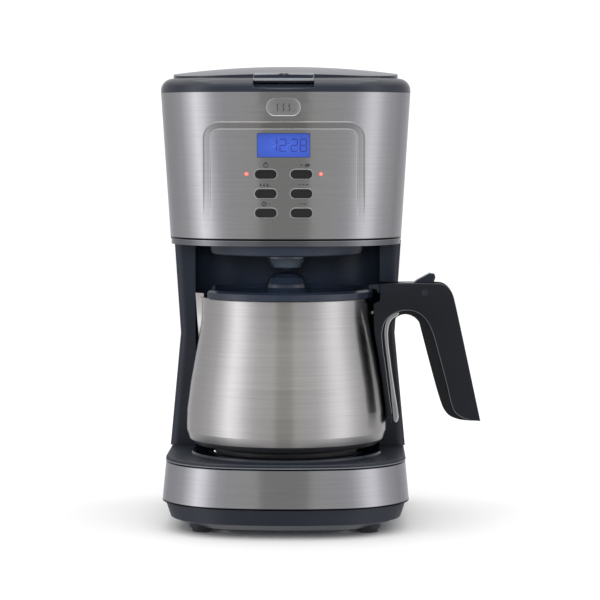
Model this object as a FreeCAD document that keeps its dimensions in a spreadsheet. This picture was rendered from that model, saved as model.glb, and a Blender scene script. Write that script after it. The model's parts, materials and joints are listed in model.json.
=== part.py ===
import FreeCAD, Part
import math
import os
import re

import Sketcher

# Drip coffee maker with a steel carafe.
# Frame: millimetres, +Z up, the front faces -Y, X = 0 is the plane of symmetry of the machine.
# The origin is on the table under the middle of the machine.

os.makedirs("parts", exist_ok=True)
DOC = FreeCAD.newDocument("drip_coffee_maker")

# ---------------------------------------------------------------- driving dimensions

SIZES = {
    # shells
    "wall": 2.4,
    "skin": 0.8,
    "play": 0.35,
    "rear": 110,
    "bow": 205,
    "corner": 60,
    "back_corner": 26,
    # base: a steel band between a plastic deck and a bottom cover
    "base_low": 21,
    "band_top": 50.6,
    "deck_top": 53.5,
    "base_half_low": 90.6,
    "base_half_top": 87.9,
    "base_front_low": -117,
    "base_front_top": -114.5,
    "band_end": 88,
    "cover_low": 4.0,
    "cover_knee": 9.4,
    "cover_half_low": 70,
    "cover_half_knee": 84.6,
    "cover_half_top": 88.4,
    "cover_front_low": -97,
    "cover_front_knee": -110.6,
    "cover_front_top": -114.6,
    "cover_rear_low": 86,
    "cover_rear_knee": 103,
    "foot_radius": 7.8,
    "foot_top": 3.4,
    "foot_pad": 9.6,
    "foot_x": 60,
    "foot_front": -74,
    "foot_rear": 70,
    "boss_x": 44,
    "boss_front": -76,
    "boss_rear": 46,
    "boss_radius": 4,
    "screw_shank": 1.5,
    "screw_head": 3.2,
    "screw_head_tall": 2,
    "cord_x": -58,
    "cord_z": 36,
    "cord_radius": 3.7,
    # hotplate
    "plate_y": -30,
    "plate_radius": 53,
    "plate_top": 59,
    "plate_thick": 1.6,
    "deck_hole": 60,
    "ring_outer": 71,
    "ring_inner": 55.2,
    "ring_top": 55,
    "heater_ring": 36,
    "heater_tube": 5.5,
    "hose_x": 30,
    "hose_radius": 5.2,
    "hose_low": 31,
    "stub_low": 38,
    # tower behind the carafe
    "tower_front": 2,
    "tower_half_low": 89,
    "tower_half_waist": 81,
    "tower_half_top": 85.6,
    "waist": 138.7,
    "tower_top": 209,
    "column_corner": 6,
    "cavity_half": 69.5,
    "cavity_rear": 50,
    "cavity_corner": 42,
    "hatch_half": 62,
    "hatch_low": 62,
    "hatch_top": 306,
    "cover_plate_half": 72,
    "cover_plate_low": 57,
    "cover_plate_top": 313,
    "cover_plate_corner": 12,
    # water system
    "tank_front": 66,
    "tank_rear": 104,
    "tank_half": 72,
    "tank_low": 62,
    "tank_top": 300,
    "tank_wall": 1.8,
    "tank_port_y": 78,
    "riser_y": 59,
    "riser_top": 290,
    "outlet_tip": 44,
    "outlet_high": 300,
    # upper housing
    "housing_low": 209,
    "shell_low": 212.6,
    "floor_top": 214,
    "shell_top": 318.5,
    "housing_half_low": 84.5,
    "housing_half_top": 91,
    "housing_front_low": -108,
    "housing_front_top": -113,
    "rim_top": 329,
    "rim_round": 8.5,
    "rim_shelf": 322,
    "lid_half": 81.7,
    "lid_front": -104.6,
    "lid_rear": 85,
    "lid_low": 326.4,
    "lid_lip_low": 327.7,
    "lid_apex": 338.6,
    "lid_crown": 640,
    "lid_middle": -8,
    "notch_half": 21.7,
    "notch_depth": 320.6,
    "hinge_y": 91,
    "hinge_z": 329.5,
    "hinge_radius": 1.75,
    "knuckle_radius": 3.8,
    # brewing group
    "basket_radius_low": 56,
    "basket_radius_top": 62,
    "basket_low": 200.3,
    "basket_top": 287.2,
    "basket_wall": 2,
    "flange_radius": 64.6,
    "holder_inner": 63.4,
    "holder_top": 284.7,
    "valve_neck": 14,
    "valve_tip": 190.4,
    "plunger_radius": 8.2,
    "plunger_tip": 4.5,
    "plunger_low": 188.4,
    "plunger_top": 208.8,
    "plunger_flange": 11.5,
    # control panel, on the front of the upper housing
    "screen_wide": 37.7,
    "screen_tall": 17.2,
    "screen_z": 280.8,
    "screen_front": -110.2,
    "button_x": 12.65,
    "button_top_row": 260.3,
    "button_pitch": 13.75,
    "button_wide": 16.8,
    "button_tall": 7.8,
    "bezel": 0.65,
    "button_stem": -105.9,
    "button_proud": 0.75,
    "lamp_x": 26.4,
    "lamp_z": 260.5,
    "lamp_radius": 1.4,
    "carrier_half": 30,
    "carrier_front": -105.2,
    "board_front": -102.4,
    "badge_wide": 24.9,
    "badge_tall": 13,
    "badge_z": 307.6,
    # carafe
    "carafe_low": 59.35,
    "carafe_wall": 1.2,
    "carafe_mouth": 62.6,
    "carafe_top": 168,
    "spout_reach": 67.5,
    "spout_top": 171.3,
    "handle_thick": 26,
    "handle_top": 179.4,
    "slot_half": 6.3,
    "slot_floor": 165.5,
    "pin_x": 101,
    "pin_z": 173.2,
    "pin_radius": 2.2,
    "pin_play": 0.06,
    "cap_low": 169.1,
    "cap_top": 175,
    "cap_radius": 64.5,
    "knob_top": 186.4,
    "knob_radius": 15,
    "cap_cut": -54,
}


def make_sheet(sizes):
    """The driving dimensions as a spreadsheet, one alias to a row."""
    sheet = DOC.addObject("Spreadsheet::Sheet", "sizes")
    for row, (alias, number) in enumerate(sizes.items(), start=1):
        sheet.set(f"A{row}", alias)
        sheet.set(f"B{row}", str(number))
        sheet.setAlias(f"B{row}", alias)
    DOC.recompute()
    return sheet


SHEET = make_sheet(SIZES)


def full(text):
    """The expression with each alias written as a cell of the sheet."""
    return re.sub(r"[a-z_]+",
                  lambda word: "sizes." + word.group() if word.group() in SIZES else word.group(),
                  str(text))


def value(text):
    """The number that an expression over the sheet gives."""
    return float(SHEET.evalExpression(full(text)))


# ---------------------------------------------------------------- sketch helpers

def new_body(label):
    body = DOC.addObject("PartDesign::Body", label)
    body.Label = label
    body.AllowCompound = True
    return body


def put(body, place_x="0", place_y="0", place_z="0"):
    """Move a body; its pieces are drawn about its own origin."""
    for axis, text in zip("xyz", (place_x, place_y, place_z)):
        body.setExpression(f"Placement.Base.{axis}", full(text))
    return body


def sketch_on(body, role, offset="0"):
    """A sketch on one of the body's origin planes, moved along the plane's normal."""
    sketch = body.newObject("Sketcher::SketchObject", body.Label + "_sketch")
    plane = next(item for item in body.Origin.OriginFeatures if item.Role == role)
    sketch.AttachmentSupport = [(plane, "")]
    sketch.MapMode = "FlatFace"
    sketch.setExpression("AttachmentOffset.Base.z", full(offset))
    return sketch


def hold(sketch, kind, places, text):
    """A dimension in a sketch, bound to an expression."""
    number = sketch.addConstraint(Sketcher.Constraint(kind, *places, value(text)))
    sketch.setExpression(f"Constraints[{number}]", full(text))


def pin(sketch, edge, end, across, along):
    """Hold one point of an edge at its two distances from the sketch's origin."""
    hold(sketch, "DistanceX", (-1, 1, edge, end), across)
    hold(sketch, "DistanceY", (-1, 1, edge, end), along)


def polygon(sketch, points):
    """A closed outline of straight lines."""
    places = [FreeCAD.Vector(value(across), value(along), 0) for across, along in points]
    first = sketch.GeometryCount
    count = len(places)
    for number in range(count):
        sketch.addGeometry(Part.LineSegment(places[number], places[(number + 1) % count]), False)
    for number in range(count):
        following = first + (number + 1) % count
        sketch.addConstraint(Sketcher.Constraint("Coincident", first + number, 2, following, 1))
    for number, (across, along) in enumerate(points):
        pin(sketch, first + number, 1, across, along)
    return sketch


def rectangle(sketch, left, right, low, high):
    return polygon(sketch, [(left, low), (right, low), (right, high), (left, high)])


def circle(sketch, across, along, radius):
    centre = FreeCAD.Vector(value(across), value(along), 0)
    ring = sketch.addGeometry(Part.Circle(centre, FreeCAD.Vector(0, 0, 1), value(radius)), False)
    pin(sketch, ring, 3, across, along)
    hold(sketch, "Radius", (ring,), radius)
    return sketch


def arc(centre, radius, start, end):
    ring = Part.Circle(FreeCAD.Vector(*centre, 0), FreeCAD.Vector(0, 0, 1), radius)
    return Part.ArcOfCircle(ring, start, end)


def line(start, end):
    return Part.LineSegment(FreeCAD.Vector(*start, 0), FreeCAD.Vector(*end, 0))


def chain(sketch, edges):
    """Add edges that follow each other round a loop, tangent where they meet."""
    first = sketch.GeometryCount
    for edge in edges:
        sketch.addGeometry(edge, False)
    for number in range(len(edges)):
        following = first + (number + 1) % len(edges)
        sketch.addConstraint(Sketcher.Constraint("Tangent", first + number, 2, following, 1))
    return first


def stadium(sketch, across, along, wide, tall):
    """A lying stadium: two straight edges and two half rounds."""
    x, y = value(across), value(along)
    radius = value(tall) / 2
    reach = value(wide) / 2 - radius
    first = chain(sketch, [
        line((x - reach, y - radius), (x + reach, y - radius)),
        arc((x + reach, y), radius, -math.pi / 2, math.pi / 2),
        line((x + reach, y + radius), (x - reach, y + radius)),
        arc((x - reach, y), radius, math.pi / 2, 3 * math.pi / 2),
    ])
    pin(sketch, first + 1, 3, f"{across} + ({wide} - ({tall})) / 2", along)
    pin(sketch, first + 3, 3, f"{across} - ({wide} - ({tall})) / 2", along)
    hold(sketch, "Radius", (first + 1,), f"({tall}) / 2")
    sketch.addConstraint(Sketcher.Constraint("Equal", first + 1, first + 3))
    return sketch


def outline(sketch, half, front, rear="rear", bow="bow", corner="corner", back="back_corner", inset="0"):
    """A plan outline, symmetric in X: a bowed front, round front corners, straight sides and rear.

    inset moves the whole outline inwards by an even amount.
    """
    half, front, rear = f"{half} - ({inset})", f"{front} + ({inset})", f"{rear} - ({inset})"
    bow, corner, back = f"{bow} - ({inset})", f"{corner} - ({inset})", f"{back} - ({inset})"
    h, f, r, b, c, k = (value(text) for text in (half, front, rear, bow, corner, back))
    drop = math.sqrt((b - c) ** 2 - (h - c) ** 2)
    side = f + b - drop
    turn = math.atan2(-drop, h - c)
    first = chain(sketch, [
        arc((0, f + b), b, -math.pi - turn, turn),
        arc((h - c, side), c, turn, 0),
        line((h, side), (h, r - k)),
        arc((h - k, r - k), k, 0, math.pi / 2),
        line((h - k, r), (k - h, r)),
        arc((k - h, r - k), k, math.pi / 2, math.pi),
        line((-h, r - k), (-h, side)),
        arc((c - h, side), c, math.pi, math.pi - turn),
    ])
    for number in (2, 6):
        sketch.addConstraint(Sketcher.Constraint("Vertical", first + number))
    sketch.addConstraint(Sketcher.Constraint("Horizontal", first + 4))
    pin(sketch, first, 3, "0", f"{front} + {bow}")
    hold(sketch, "DistanceX", (-1, 1, first + 2, 1), half)
    hold(sketch, "DistanceX", (-1, 1, first + 6, 1), f"-({half})")
    hold(sketch, "DistanceY", (-1, 1, first + 4, 1), rear)
    for number, radius in ((0, bow), (1, corner), (7, corner), (3, back), (5, back)):
        hold(sketch, "Radius", (first + number,), radius)
    return sketch


# ---------------------------------------------------------------- feature helpers

def pad(body, sketch, length, back=False):
    feature = body.newObject("PartDesign::Pad", body.Label + "_pad")
    feature.Profile = sketch
    feature.setExpression("Length", full(length))
    feature.Reversed = back
    body.Tip = feature
    return feature


def pocket(body, sketch, length, back=False):
    """Cut along the sketch's normal when back is set, otherwise against it."""
    feature = body.newObject("PartDesign::Pocket", body.Label + "_pocket")
    feature.Profile = sketch
    feature.setExpression("Length", full(length))
    feature.Reversed = back
    body.Tip = feature
    return feature


def loft(body, low, high, cut=False):
    kind = "PartDesign::SubtractiveLoft" if cut else "PartDesign::AdditiveLoft"
    feature = body.newObject(kind, body.Label + "_loft")
    feature.Profile = low
    feature.Sections = [high]
    feature.Ruled = True
    body.Tip = feature
    return feature


def revolve(body, sketch, cut=False):
    kind = "PartDesign::Groove" if cut else "PartDesign::Revolution"
    feature = body.newObject(kind, body.Label + "_turned")
    feature.Profile = sketch
    feature.ReferenceAxis = (sketch, ["V_Axis"])
    feature.Angle = 360
    body.Tip = feature
    return feature


def pipe(body, section, spine):
    feature = body.newObject("PartDesign::AdditivePipe", body.Label + "_pipe")
    feature.Profile = section
    feature.Spine = spine
    body.Tip = feature
    return feature


def round_edges(body, radius, chosen):
    """Fillet the edges of the body's tip that the test picks."""
    DOC.recompute()
    base = body.Tip
    names = [f"Edge{number}" for number, edge in enumerate(base.Shape.Edges, start=1) if chosen(edge)]
    feature = body.newObject("PartDesign::Fillet", body.Label + "_round")
    feature.Base = (base, names)
    feature.setExpression("Radius", full(radius))
    body.Tip = feature
    return feature


def at_height(edge, height):
    box = edge.BoundBox
    return abs(box.ZMin - height) < 0.01 and abs(box.ZMax - height) < 0.01


def turned(label, profile, place_y="plate_y"):
    """A body turned about a vertical axis from a half profile of (radius, height) points."""
    body = put(new_body(label), place_y=place_y)
    revolve(body, polygon(sketch_on(body, "XZ_Plane"), profile))
    return body


def level_outline(body, height, **shape):
    return outline(sketch_on(body, "XY_Plane", height), **shape)


def panel_piece(body, front, back, draw):
    """Pad an upright outline, drawn in X and Z, from y = front to y = back."""
    return pad(body, draw(sketch_on(body, "XZ_Plane", f"-({front})")), f"{back} - ({front})", back=True)


# ---------------------------------------------------------------- base

def shell_low(inset="0"):
    return dict(half="base_half_low", front="base_front_low", inset=inset)


def shell_high(inset="0"):
    return dict(half="base_half_top", front="base_front_top", inset=inset)


def boss_circles(sketch, *radii):
    """Circles at the four screw bosses of the base."""
    for side in (-1, 1):
        for along in ("boss_front", "boss_rear"):
            for radius in radii:
                circle(sketch, f"{side} * boss_x", along, radius)
    return sketch


def foot_circles(sketch, radius):
    """Circles at the four feet."""
    for side in (-1, 1):
        for along in ("foot_front", "foot_rear"):
            circle(sketch, f"{side} * foot_x", along, radius)
    return sketch


def make_base_wrap():
    body = new_body("base_wrap")
    loft(body, level_outline(body, "base_low", **shell_low()), level_outline(body, "band_top",
                                                                             **shell_high()))
    loft(body, level_outline(body, "base_low", **shell_low("skin")),
         level_outline(body, "band_top", **shell_high("skin")), cut=True)
    behind = rectangle(sketch_on(body, "XY_Plane", "band_top + 1"), "-100", "100", "band_end",
                       "rear + 10")
    pocket(body, behind, "band_top - base_low + 2")
    return body


def make_base_shell():
    body = new_body("base_shell")
    loft(body, level_outline(body, "base_low", **shell_low("skin")),
         level_outline(body, "band_top", **shell_high("skin")))
    pad(body, level_outline(body, "band_top", **shell_high()), "deck_top - band_top")
    loft(body, level_outline(body, "base_low", **shell_low("skin + wall")),
         level_outline(body, "band_top", **shell_high("skin + wall")), cut=True)
    pad(body, boss_circles(sketch_on(body, "XY_Plane", "cover_low + wall"), "boss_radius", "screw_shank"),
        "band_top - cover_low - wall")
    opening = sketch_on(body, "XY_Plane", "deck_top")
    circle(opening, "0", "plate_y", "deck_hole")
    rectangle(opening, "-hatch_half", "hatch_half", "cavity_rear + wall + 0.6", "rear - wall - 6")
    pocket(body, opening, "deck_top - band_top")
    gland = circle(sketch_on(body, "XZ_Plane", "-(rear + 1)"), "cord_x", "cord_z", "6")
    pocket(body, gland, "wall + 3", back=True)
    round_edges(body, 1.2, lambda edge: at_height(edge, value("deck_top")) and edge.BoundBox.YMax < 111
                and max(abs(edge.BoundBox.XMin), abs(edge.BoundBox.XMax)) > 75)
    return body


def make_bottom_cover():
    low = dict(half="cover_half_low", front="cover_front_low", rear="cover_rear_low",
               corner="corner - 18")
    knee = dict(half="cover_half_knee", front="cover_front_knee", rear="cover_rear_knee",
                corner="corner - 6")
    top = dict(half="cover_half_top", front="cover_front_top", rear="rear - 2", corner="corner - 2")
    body = new_body("bottom_cover")
    loft(body, level_outline(body, "cover_low", **low), level_outline(body, "cover_knee", **knee))
    loft(body, level_outline(body, "cover_knee", **knee), level_outline(body, "base_low", **top))
    pads = sketch_on(body, "XY_Plane", "foot_top")
    pad(body, foot_circles(pads, "foot_pad"), "cover_knee - foot_top")
    loft(body, level_outline(body, "cover_low + wall", **low, inset="wall"),
         level_outline(body, "cover_knee + wall", **knee, inset="wall"), cut=True)
    loft(body, level_outline(body, "cover_knee + wall", **knee, inset="wall"),
         level_outline(body, "base_low", **top, inset="wall"), cut=True)
    pocket(body, boss_circles(sketch_on(body, "XY_Plane", "cover_low + wall"), "screw_shank + 0.1"),
           "wall")
    slots = sketch_on(body, "XY_Plane", "cover_low + wall")
    for number in range(5):
        stadium(slots, "0", f"{20 + 9 * number}", "46", "3.2")
    pocket(body, slots, "wall")
    return body


def make_rubber_feet():
    body = new_body("rubber_feet")
    pad(body, foot_circles(sketch_on(body, "XY_Plane"), "foot_radius"), "foot_top")
    round_edges(body, 0.8, lambda edge: at_height(edge, 0))
    return body


def make_bottom_screws():
    body = new_body("bottom_screws")
    head = "screw_head_tall"
    pad(body, boss_circles(sketch_on(body, "XY_Plane", f"cover_low - {head}"), "screw_head"), head)
    pad(body, boss_circles(sketch_on(body, "XY_Plane", "cover_low"), "screw_shank"), "20")
    return body


def make_cord_inlet():
    """A grommet in the base's rear wall, with a bore for the mains lead."""
    body = new_body("cord_inlet")
    for radius, length, outwards in (("9", "3", True), ("6", "9", False)):
        sketch = circle(sketch_on(body, "XZ_Plane", "-(rear - skin)"), "cord_x", "cord_z", radius)
        pad(body, circle(sketch, "cord_x", "cord_z", "cord_radius"), length, back=outwards)
    return body


# ---------------------------------------------------------------- hotplate and heater

def make_plate_ring():
    return turned("plate_ring", [
        ("ring_inner", "deck_top"), ("ring_outer", "deck_top"), ("ring_outer - 0.5", "ring_top"),
        ("ring_outer - 2.2", "ring_top"), ("ring_outer - 3", "ring_top - 0.7"),
        ("ring_inner + 3", "ring_top - 0.7"), ("ring_inner + 2.2", "ring_top"),
        ("ring_inner + 0.4", "ring_top")])


def make_warming_plate():
    edge, top, thick = "plate_radius", "plate_top", "plate_thick"
    return turned("warming_plate", [
        ("0", f"{top} - {thick}"), (f"{edge} - 5", f"{top} - {thick}"), (f"{edge} - 2", "deck_top + 3"),
        (f"{edge} - 1.6", "deck_top + 0.3"), (edge, "deck_top + 0.3"), (edge, f"{top} - 1.8"),
        (f"{edge} - 1.8", top), (f"{edge} - 4.5", top), (f"{edge} - 6", f"{top} - 0.4"), ("0",
                                                                                          f"{top} - 0.4")])


def cylinder(name, radius, height, place):
    piece = DOC.addObject("Part::Cylinder", name)
    piece.setExpression("Radius", full(radius))
    piece.setExpression("Height", full(height))
    for axis, text in zip("xyz", place):
        piece.setExpression(f"Placement.Base.{axis}", full(text))
    return piece


def box(name, wide, deep, tall, place):
    piece = DOC.addObject("Part::Box", name)
    for side, text in zip(("Length", "Width", "Height"), (wide, deep, tall)):
        piece.setExpression(side, full(text))
    for axis, text in zip("xyz", place):
        piece.setExpression(f"Placement.Base.{axis}", full(text))
    return piece


def fuse(label, pieces):
    whole = DOC.addObject("Part::MultiFuse", label)
    whole.Label = label
    whole.Shapes = pieces
    return whole


def cut(label, base, tool):
    whole = DOC.addObject("Part::Cut", label)
    whole.Label = label
    whole.Base = base
    whole.Tool = tool
    return whole


def common(label, base, tool):
    whole = DOC.addObject("Part::Common", label)
    whole.Label = label
    whole.Base = base
    whole.Tool = tool
    return whole


def make_heater_element():
    """A horseshoe tube heater under the plate, open to the rear, with an inlet and an outlet stub."""
    ring = DOC.addObject("Part::Torus", "heater_ring_tube")
    ring.setExpression("Radius1", full("heater_ring"))
    ring.setExpression("Radius2", full("heater_tube"))
    opening = math.degrees(math.acos(value("hose_x") / value("heater_ring")))
    height = "plate_top - plate_thick - heater_tube"
    ring.Angle3 = 180 + 2 * opening
    turn = FreeCAD.Rotation(FreeCAD.Vector(0, 0, 1), 180 - opening)
    ring.Placement = FreeCAD.Placement(FreeCAD.Vector(0, value("plate_y"), value(height)), turn)
    reach = math.sqrt(value("heater_ring") ** 2 - value("hose_x") ** 2)
    stubs = []
    for name, side in (("heater_inlet", -1), ("heater_outlet", 1)):
        place = (f"{side} * hose_x", f"plate_y + {reach:.4f}", "stub_low")
        stubs.append(cylinder(name, "heater_tube - 0.5", f"{height} - stub_low", place))
    return fuse("heater_element", [ring] + stubs)


def make_thermostat():
    disc = cylinder("thermostat_disc", "9", "7", ("0", "plate_y", "plate_top - plate_thick - 8"))
    strap = box("thermostat_strap", "24", "8", "1", ("-12", "plate_y - 4", "plate_top - plate_thick - 9"))
    return fuse("thermostat", [disc, strap])


def make_thermal_fuse():
    """Two thermal cut-outs clipped under the front of the heater tube."""
    body = new_body("thermal_fuses")
    sketch = sketch_on(body, "YZ_Plane", "-9")
    for step in (-1, 1):
        circle(sketch, f"plate_y - heater_ring + {step} * 3.2",
               "plate_top - plate_thick - 2 * heater_tube - 2.6", "2.3")
    pad(body, sketch, "18")
    return body


# ---------------------------------------------------------------- tower

def tower_shape(half, inset="0"):
    return dict(half=half, front="tower_front", bow="5000", corner="column_corner", inset=inset)


def cavity_shape(front, grow="0"):
    return dict(half=f"cavity_half + {grow}", front=front, rear=f"cavity_rear + {grow}", bow="5000",
                corner="0.6", back=f"cavity_corner + {grow}")


def rear_opening(body, low, high):
    """The access hatch in the rear wall, closed by the rear cover."""
    hatch = rectangle(sketch_on(body, "XZ_Plane", "-(rear + 1)"), "-hatch_half", "hatch_half", low, high)
    return pocket(body, hatch, "wall + 2", back=True)


def cover_screw_circles(sketch, radius):
    for side in (-1, 1):
        for height in ("cover_plate_low + 2.6", "cover_plate_top - 3.4"):
            circle(sketch, f"{side} * 40", height, radius)
    return sketch


def rear_screw_holes(body, radius):
    """Holes through whatever rear wall lies behind the cover's four screws."""
    holes = cover_screw_circles(sketch_on(body, "XZ_Plane", "-(rear + wall + 1)"), radius)
    return pocket(body, holes, "2 * wall + 3", back=True)


def tower_shell(label, low, high, half_low, half_high):
    """One half of the tower: a thin shell with a concave front wall behind the carafe."""
    body = new_body(label)
    loft(body, level_outline(body, low, **tower_shape(half_low)),
         level_outline(body, high, **tower_shape(half_high)))
    loft(body, level_outline(body, low, **tower_shape(half_low, "wall")),
         level_outline(body, high, **tower_shape(half_high, "wall")), cut=True)
    pad(body, level_outline(body, low, **cavity_shape("tower_front + 1", "wall")), f"{high} - {low}")
    pocket(body, level_outline(body, high, **cavity_shape("tower_front - 30")), f"{high} - {low}")
    return body


def make_lower_tower():
    body = tower_shell("lower_tower", "deck_top", "waist", "tower_half_low", "tower_half_waist")
    rear_opening(body, "hatch_low", "waist + 1")
    rear_screw_holes(body, "screw_shank")
    return body


def make_upper_tower():
    body = tower_shell("upper_tower", "waist", "tower_top", "tower_half_waist", "tower_half_top")
    rear_opening(body, "waist - 1", "tower_top + 1")
    return body


def make_rear_cover():
    body = new_body("rear_cover")
    half, low, high = "cover_plate_half", "cover_plate_low", "cover_plate_top"
    panel_piece(body, "rear", "rear + wall", lambda sketch: rectangle(sketch, f"-{half}", half, low,
                                                                      high))
    grille = sketch_on(body, "XZ_Plane", "-(rear + wall)")
    for number in range(7):
        stadium(grille, "0", f"{high} - 20 - 7 * {number}", "60", "3")
    pocket(body, grille, "wall", back=True)
    rear_screw_holes(body, "screw_shank + 0.1")
    round_edges(body, "cover_plate_corner",
                lambda edge: abs(abs(edge.BoundBox.XMin) - value(half)) < 0.01
                and edge.BoundBox.YLength > 1 and edge.BoundBox.ZLength < 0.01)
    return body


def make_rear_screws():
    body = new_body("rear_screws")
    heads = cover_screw_circles(sketch_on(body, "XZ_Plane", "-(rear + wall)"), "screw_head")
    pad(body, heads, "screw_head_tall - 0.4", back=True)
    pad(body, cover_screw_circles(sketch_on(body, "XZ_Plane", "-(rear + wall)"), "screw_shank"),
        "2 * wall + 1")
    return body


# ---------------------------------------------------------------- water system

def tank_shape(inset="0"):
    return dict(half="tank_half", front="tank_front", rear="tank_rear", bow="5000", corner="9", back="18",
                inset=inset)


def make_water_tank():
    body = new_body("water_tank")
    pad(body, level_outline(body, "tank_low", **tank_shape()), "tank_top - tank_low")
    pocket(body, level_outline(body, "tank_top", **tank_shape("tank_wall")),
           "tank_top - tank_low - tank_wall")
    port = circle(sketch_on(body, "XY_Plane", "tank_low + tank_wall"), "-hose_x", "tank_port_y", "3.2")
    pocket(body, port, "tank_wall")
    return body


def hose(label, side, high_z, rear_y):
    """A hose from under the heater stub, back along the base and up to its upper end."""
    body = new_body(label)
    reach = value("plate_y") + math.sqrt(value("heater_ring") ** 2 - value("hose_x") ** 2)
    low, bend = value("hose_low"), 12.0
    tight = value("stub_low") - low
    back = value(rear_y)
    spine = sketch_on(body, "YZ_Plane", f"{side} * hose_x")
    edges = [
        arc((reach + tight, low + tight), tight, math.pi, 3 * math.pi / 2),
        line((reach + tight, low), (back - bend, low)),
        arc((back - bend, low + bend), bend, -math.pi / 2, 0),
        line((back, low + bend), (back, value(high_z))),
    ]
    for edge in edges:
        spine.addGeometry(edge, False)
    for number in range(spine.GeometryCount):
        spine.addConstraint(Sketcher.Constraint("Block", number))
    section = sketch_on(body, "XY_Plane", "stub_low")
    circle(section, f"{side} * hose_x", f"{reach:.5f}", "hose_radius")
    pipe(body, section, spine)
    return body


def make_check_valve():
    return put(cylinder_piece("check_valve", "7", "tank_low - 52", "52"), "-hose_x", "tank_port_y", "0")


def cylinder_piece(label, radius, height, low):
    body = new_body(label)
    pad(body, circle(sketch_on(body, "XY_Plane", low), "0", "0", radius), height)
    return body


def make_water_outlet():
    """The elbow at the top of the riser, pointing forward into the lid's channel."""
    stem = cylinder("outlet_stem", "hose_radius + 1.2", "outlet_high - riser_top + 6.4",
                    ("hose_x", "riser_y", "riser_top"))
    arm = cylinder("outlet_arm", "hose_radius + 0.6", "riser_y - outlet_tip",
                   ("hose_x", "riser_y", "outlet_high"))
    arm.Placement.Rotation = FreeCAD.Rotation(FreeCAD.Vector(1, 0, 0), 90)
    bore = cylinder("outlet_bore", "3.4", "riser_y - outlet_tip + 2", ("hose_x", "riser_y",
                                                                       "outlet_high"))
    bore.Placement.Rotation = FreeCAD.Rotation(FreeCAD.Vector(1, 0, 0), 90)
    return cut("water_outlet", fuse("outlet_elbow", [stem, arm]), bore)


# ---------------------------------------------------------------- upper housing

def housing_level(text_low, text_high, height):
    """A size of the leaning housing at some height, between its lower and upper values."""
    return f"({text_low} + ({text_high} - ({text_low})) * ({height} - shell_low) / (shell_top - shell_low))"


def housing_shape(height, inset="0"):
    return dict(half=housing_level("housing_half_low", "housing_half_top", height),
                front=housing_level("housing_front_low", "housing_front_top", height), inset=inset)


def panel_surface(height):
    """The y of the steel band's front at some height, on the plane of symmetry."""
    return housing_level("housing_front_low", "housing_front_top", height)


def button_heights():
    return [f"button_top_row - {row} * button_pitch" for row in range(3)]


def make_housing_wrap():
    body = new_body("housing_wrap")
    low, high = "shell_low", "shell_top"
    loft(body, level_outline(body, low, **housing_shape(low)), level_outline(body, high,
                                                                             **housing_shape(high)))
    loft(body, level_outline(body, low, **housing_shape(low, "skin")),
         level_outline(body, high, **housing_shape(high, "skin")), cut=True)
    behind = rectangle(sketch_on(body, "XY_Plane", "shell_top + 1"), "-100", "100", "band_end",
                       "rear + 10")
    pocket(body, behind, "shell_top - shell_low + 2")
    holes = sketch_on(body, "XZ_Plane", "116")
    rectangle(holes, "-screen_wide / 2", "screen_wide / 2", "screen_z - screen_tall / 2",
              "screen_z + screen_tall / 2")
    for height in button_heights():
        for side in (-1, 1):
            stadium(holes, f"{side} * button_x", height, "button_wide", "button_tall")
    for side in (-1, 1):
        circle(holes, f"{side} * lamp_x", "lamp_z", "lamp_radius + 0.1")
    stadium(holes, "0", "badge_z", "badge_wide", "badge_tall")
    pocket(body, holes, "14")
    return body


def make_upper_housing():
    body = new_body("upper_housing")
    low, high = "shell_low", "shell_top"
    loft(body, level_outline(body, low, **housing_shape(low, "skin")),
         level_outline(body, high, **housing_shape(high, "skin")))
    loft(body, level_outline(body, low, **housing_shape(low, "skin + wall")),
         level_outline(body, high, **housing_shape(high, "skin + wall")), cut=True)
    for height, top, inset in (("housing_low", low, "skin + wall"), (low, "floor_top",
                                                                     "skin + wall / 2")):
        floor = level_outline(body, height, **housing_shape(low, inset))
        circle(floor, "0", "plate_y", "basket_radius_low + 2")
        outline(floor, half="tank_half + 1.5", front="cavity_rear + wall + 0.6", rear="tank_rear + 1.5",
                bow="5000", corner="10", back="19.5")
        pad(body, floor, f"{top} - {height}")
    window = rectangle(sketch_on(body, "XZ_Plane", "116"), "-34", "34", "224", "295")
    pocket(body, window, "14")
    rear_opening(body, "tower_top - 1", "hatch_top")
    rear_screw_holes(body, "screw_shank")
    return body


def make_housing_trim():
    """The bright lip under the steel band."""
    body = new_body("housing_trim")
    low = "shell_low"
    ring = level_outline(body, "housing_low", **housing_shape(low, "0.6"))
    outline(ring, **housing_shape(low, "skin + wall"))
    pad(body, ring, "shell_low - housing_low")
    return body


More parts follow.
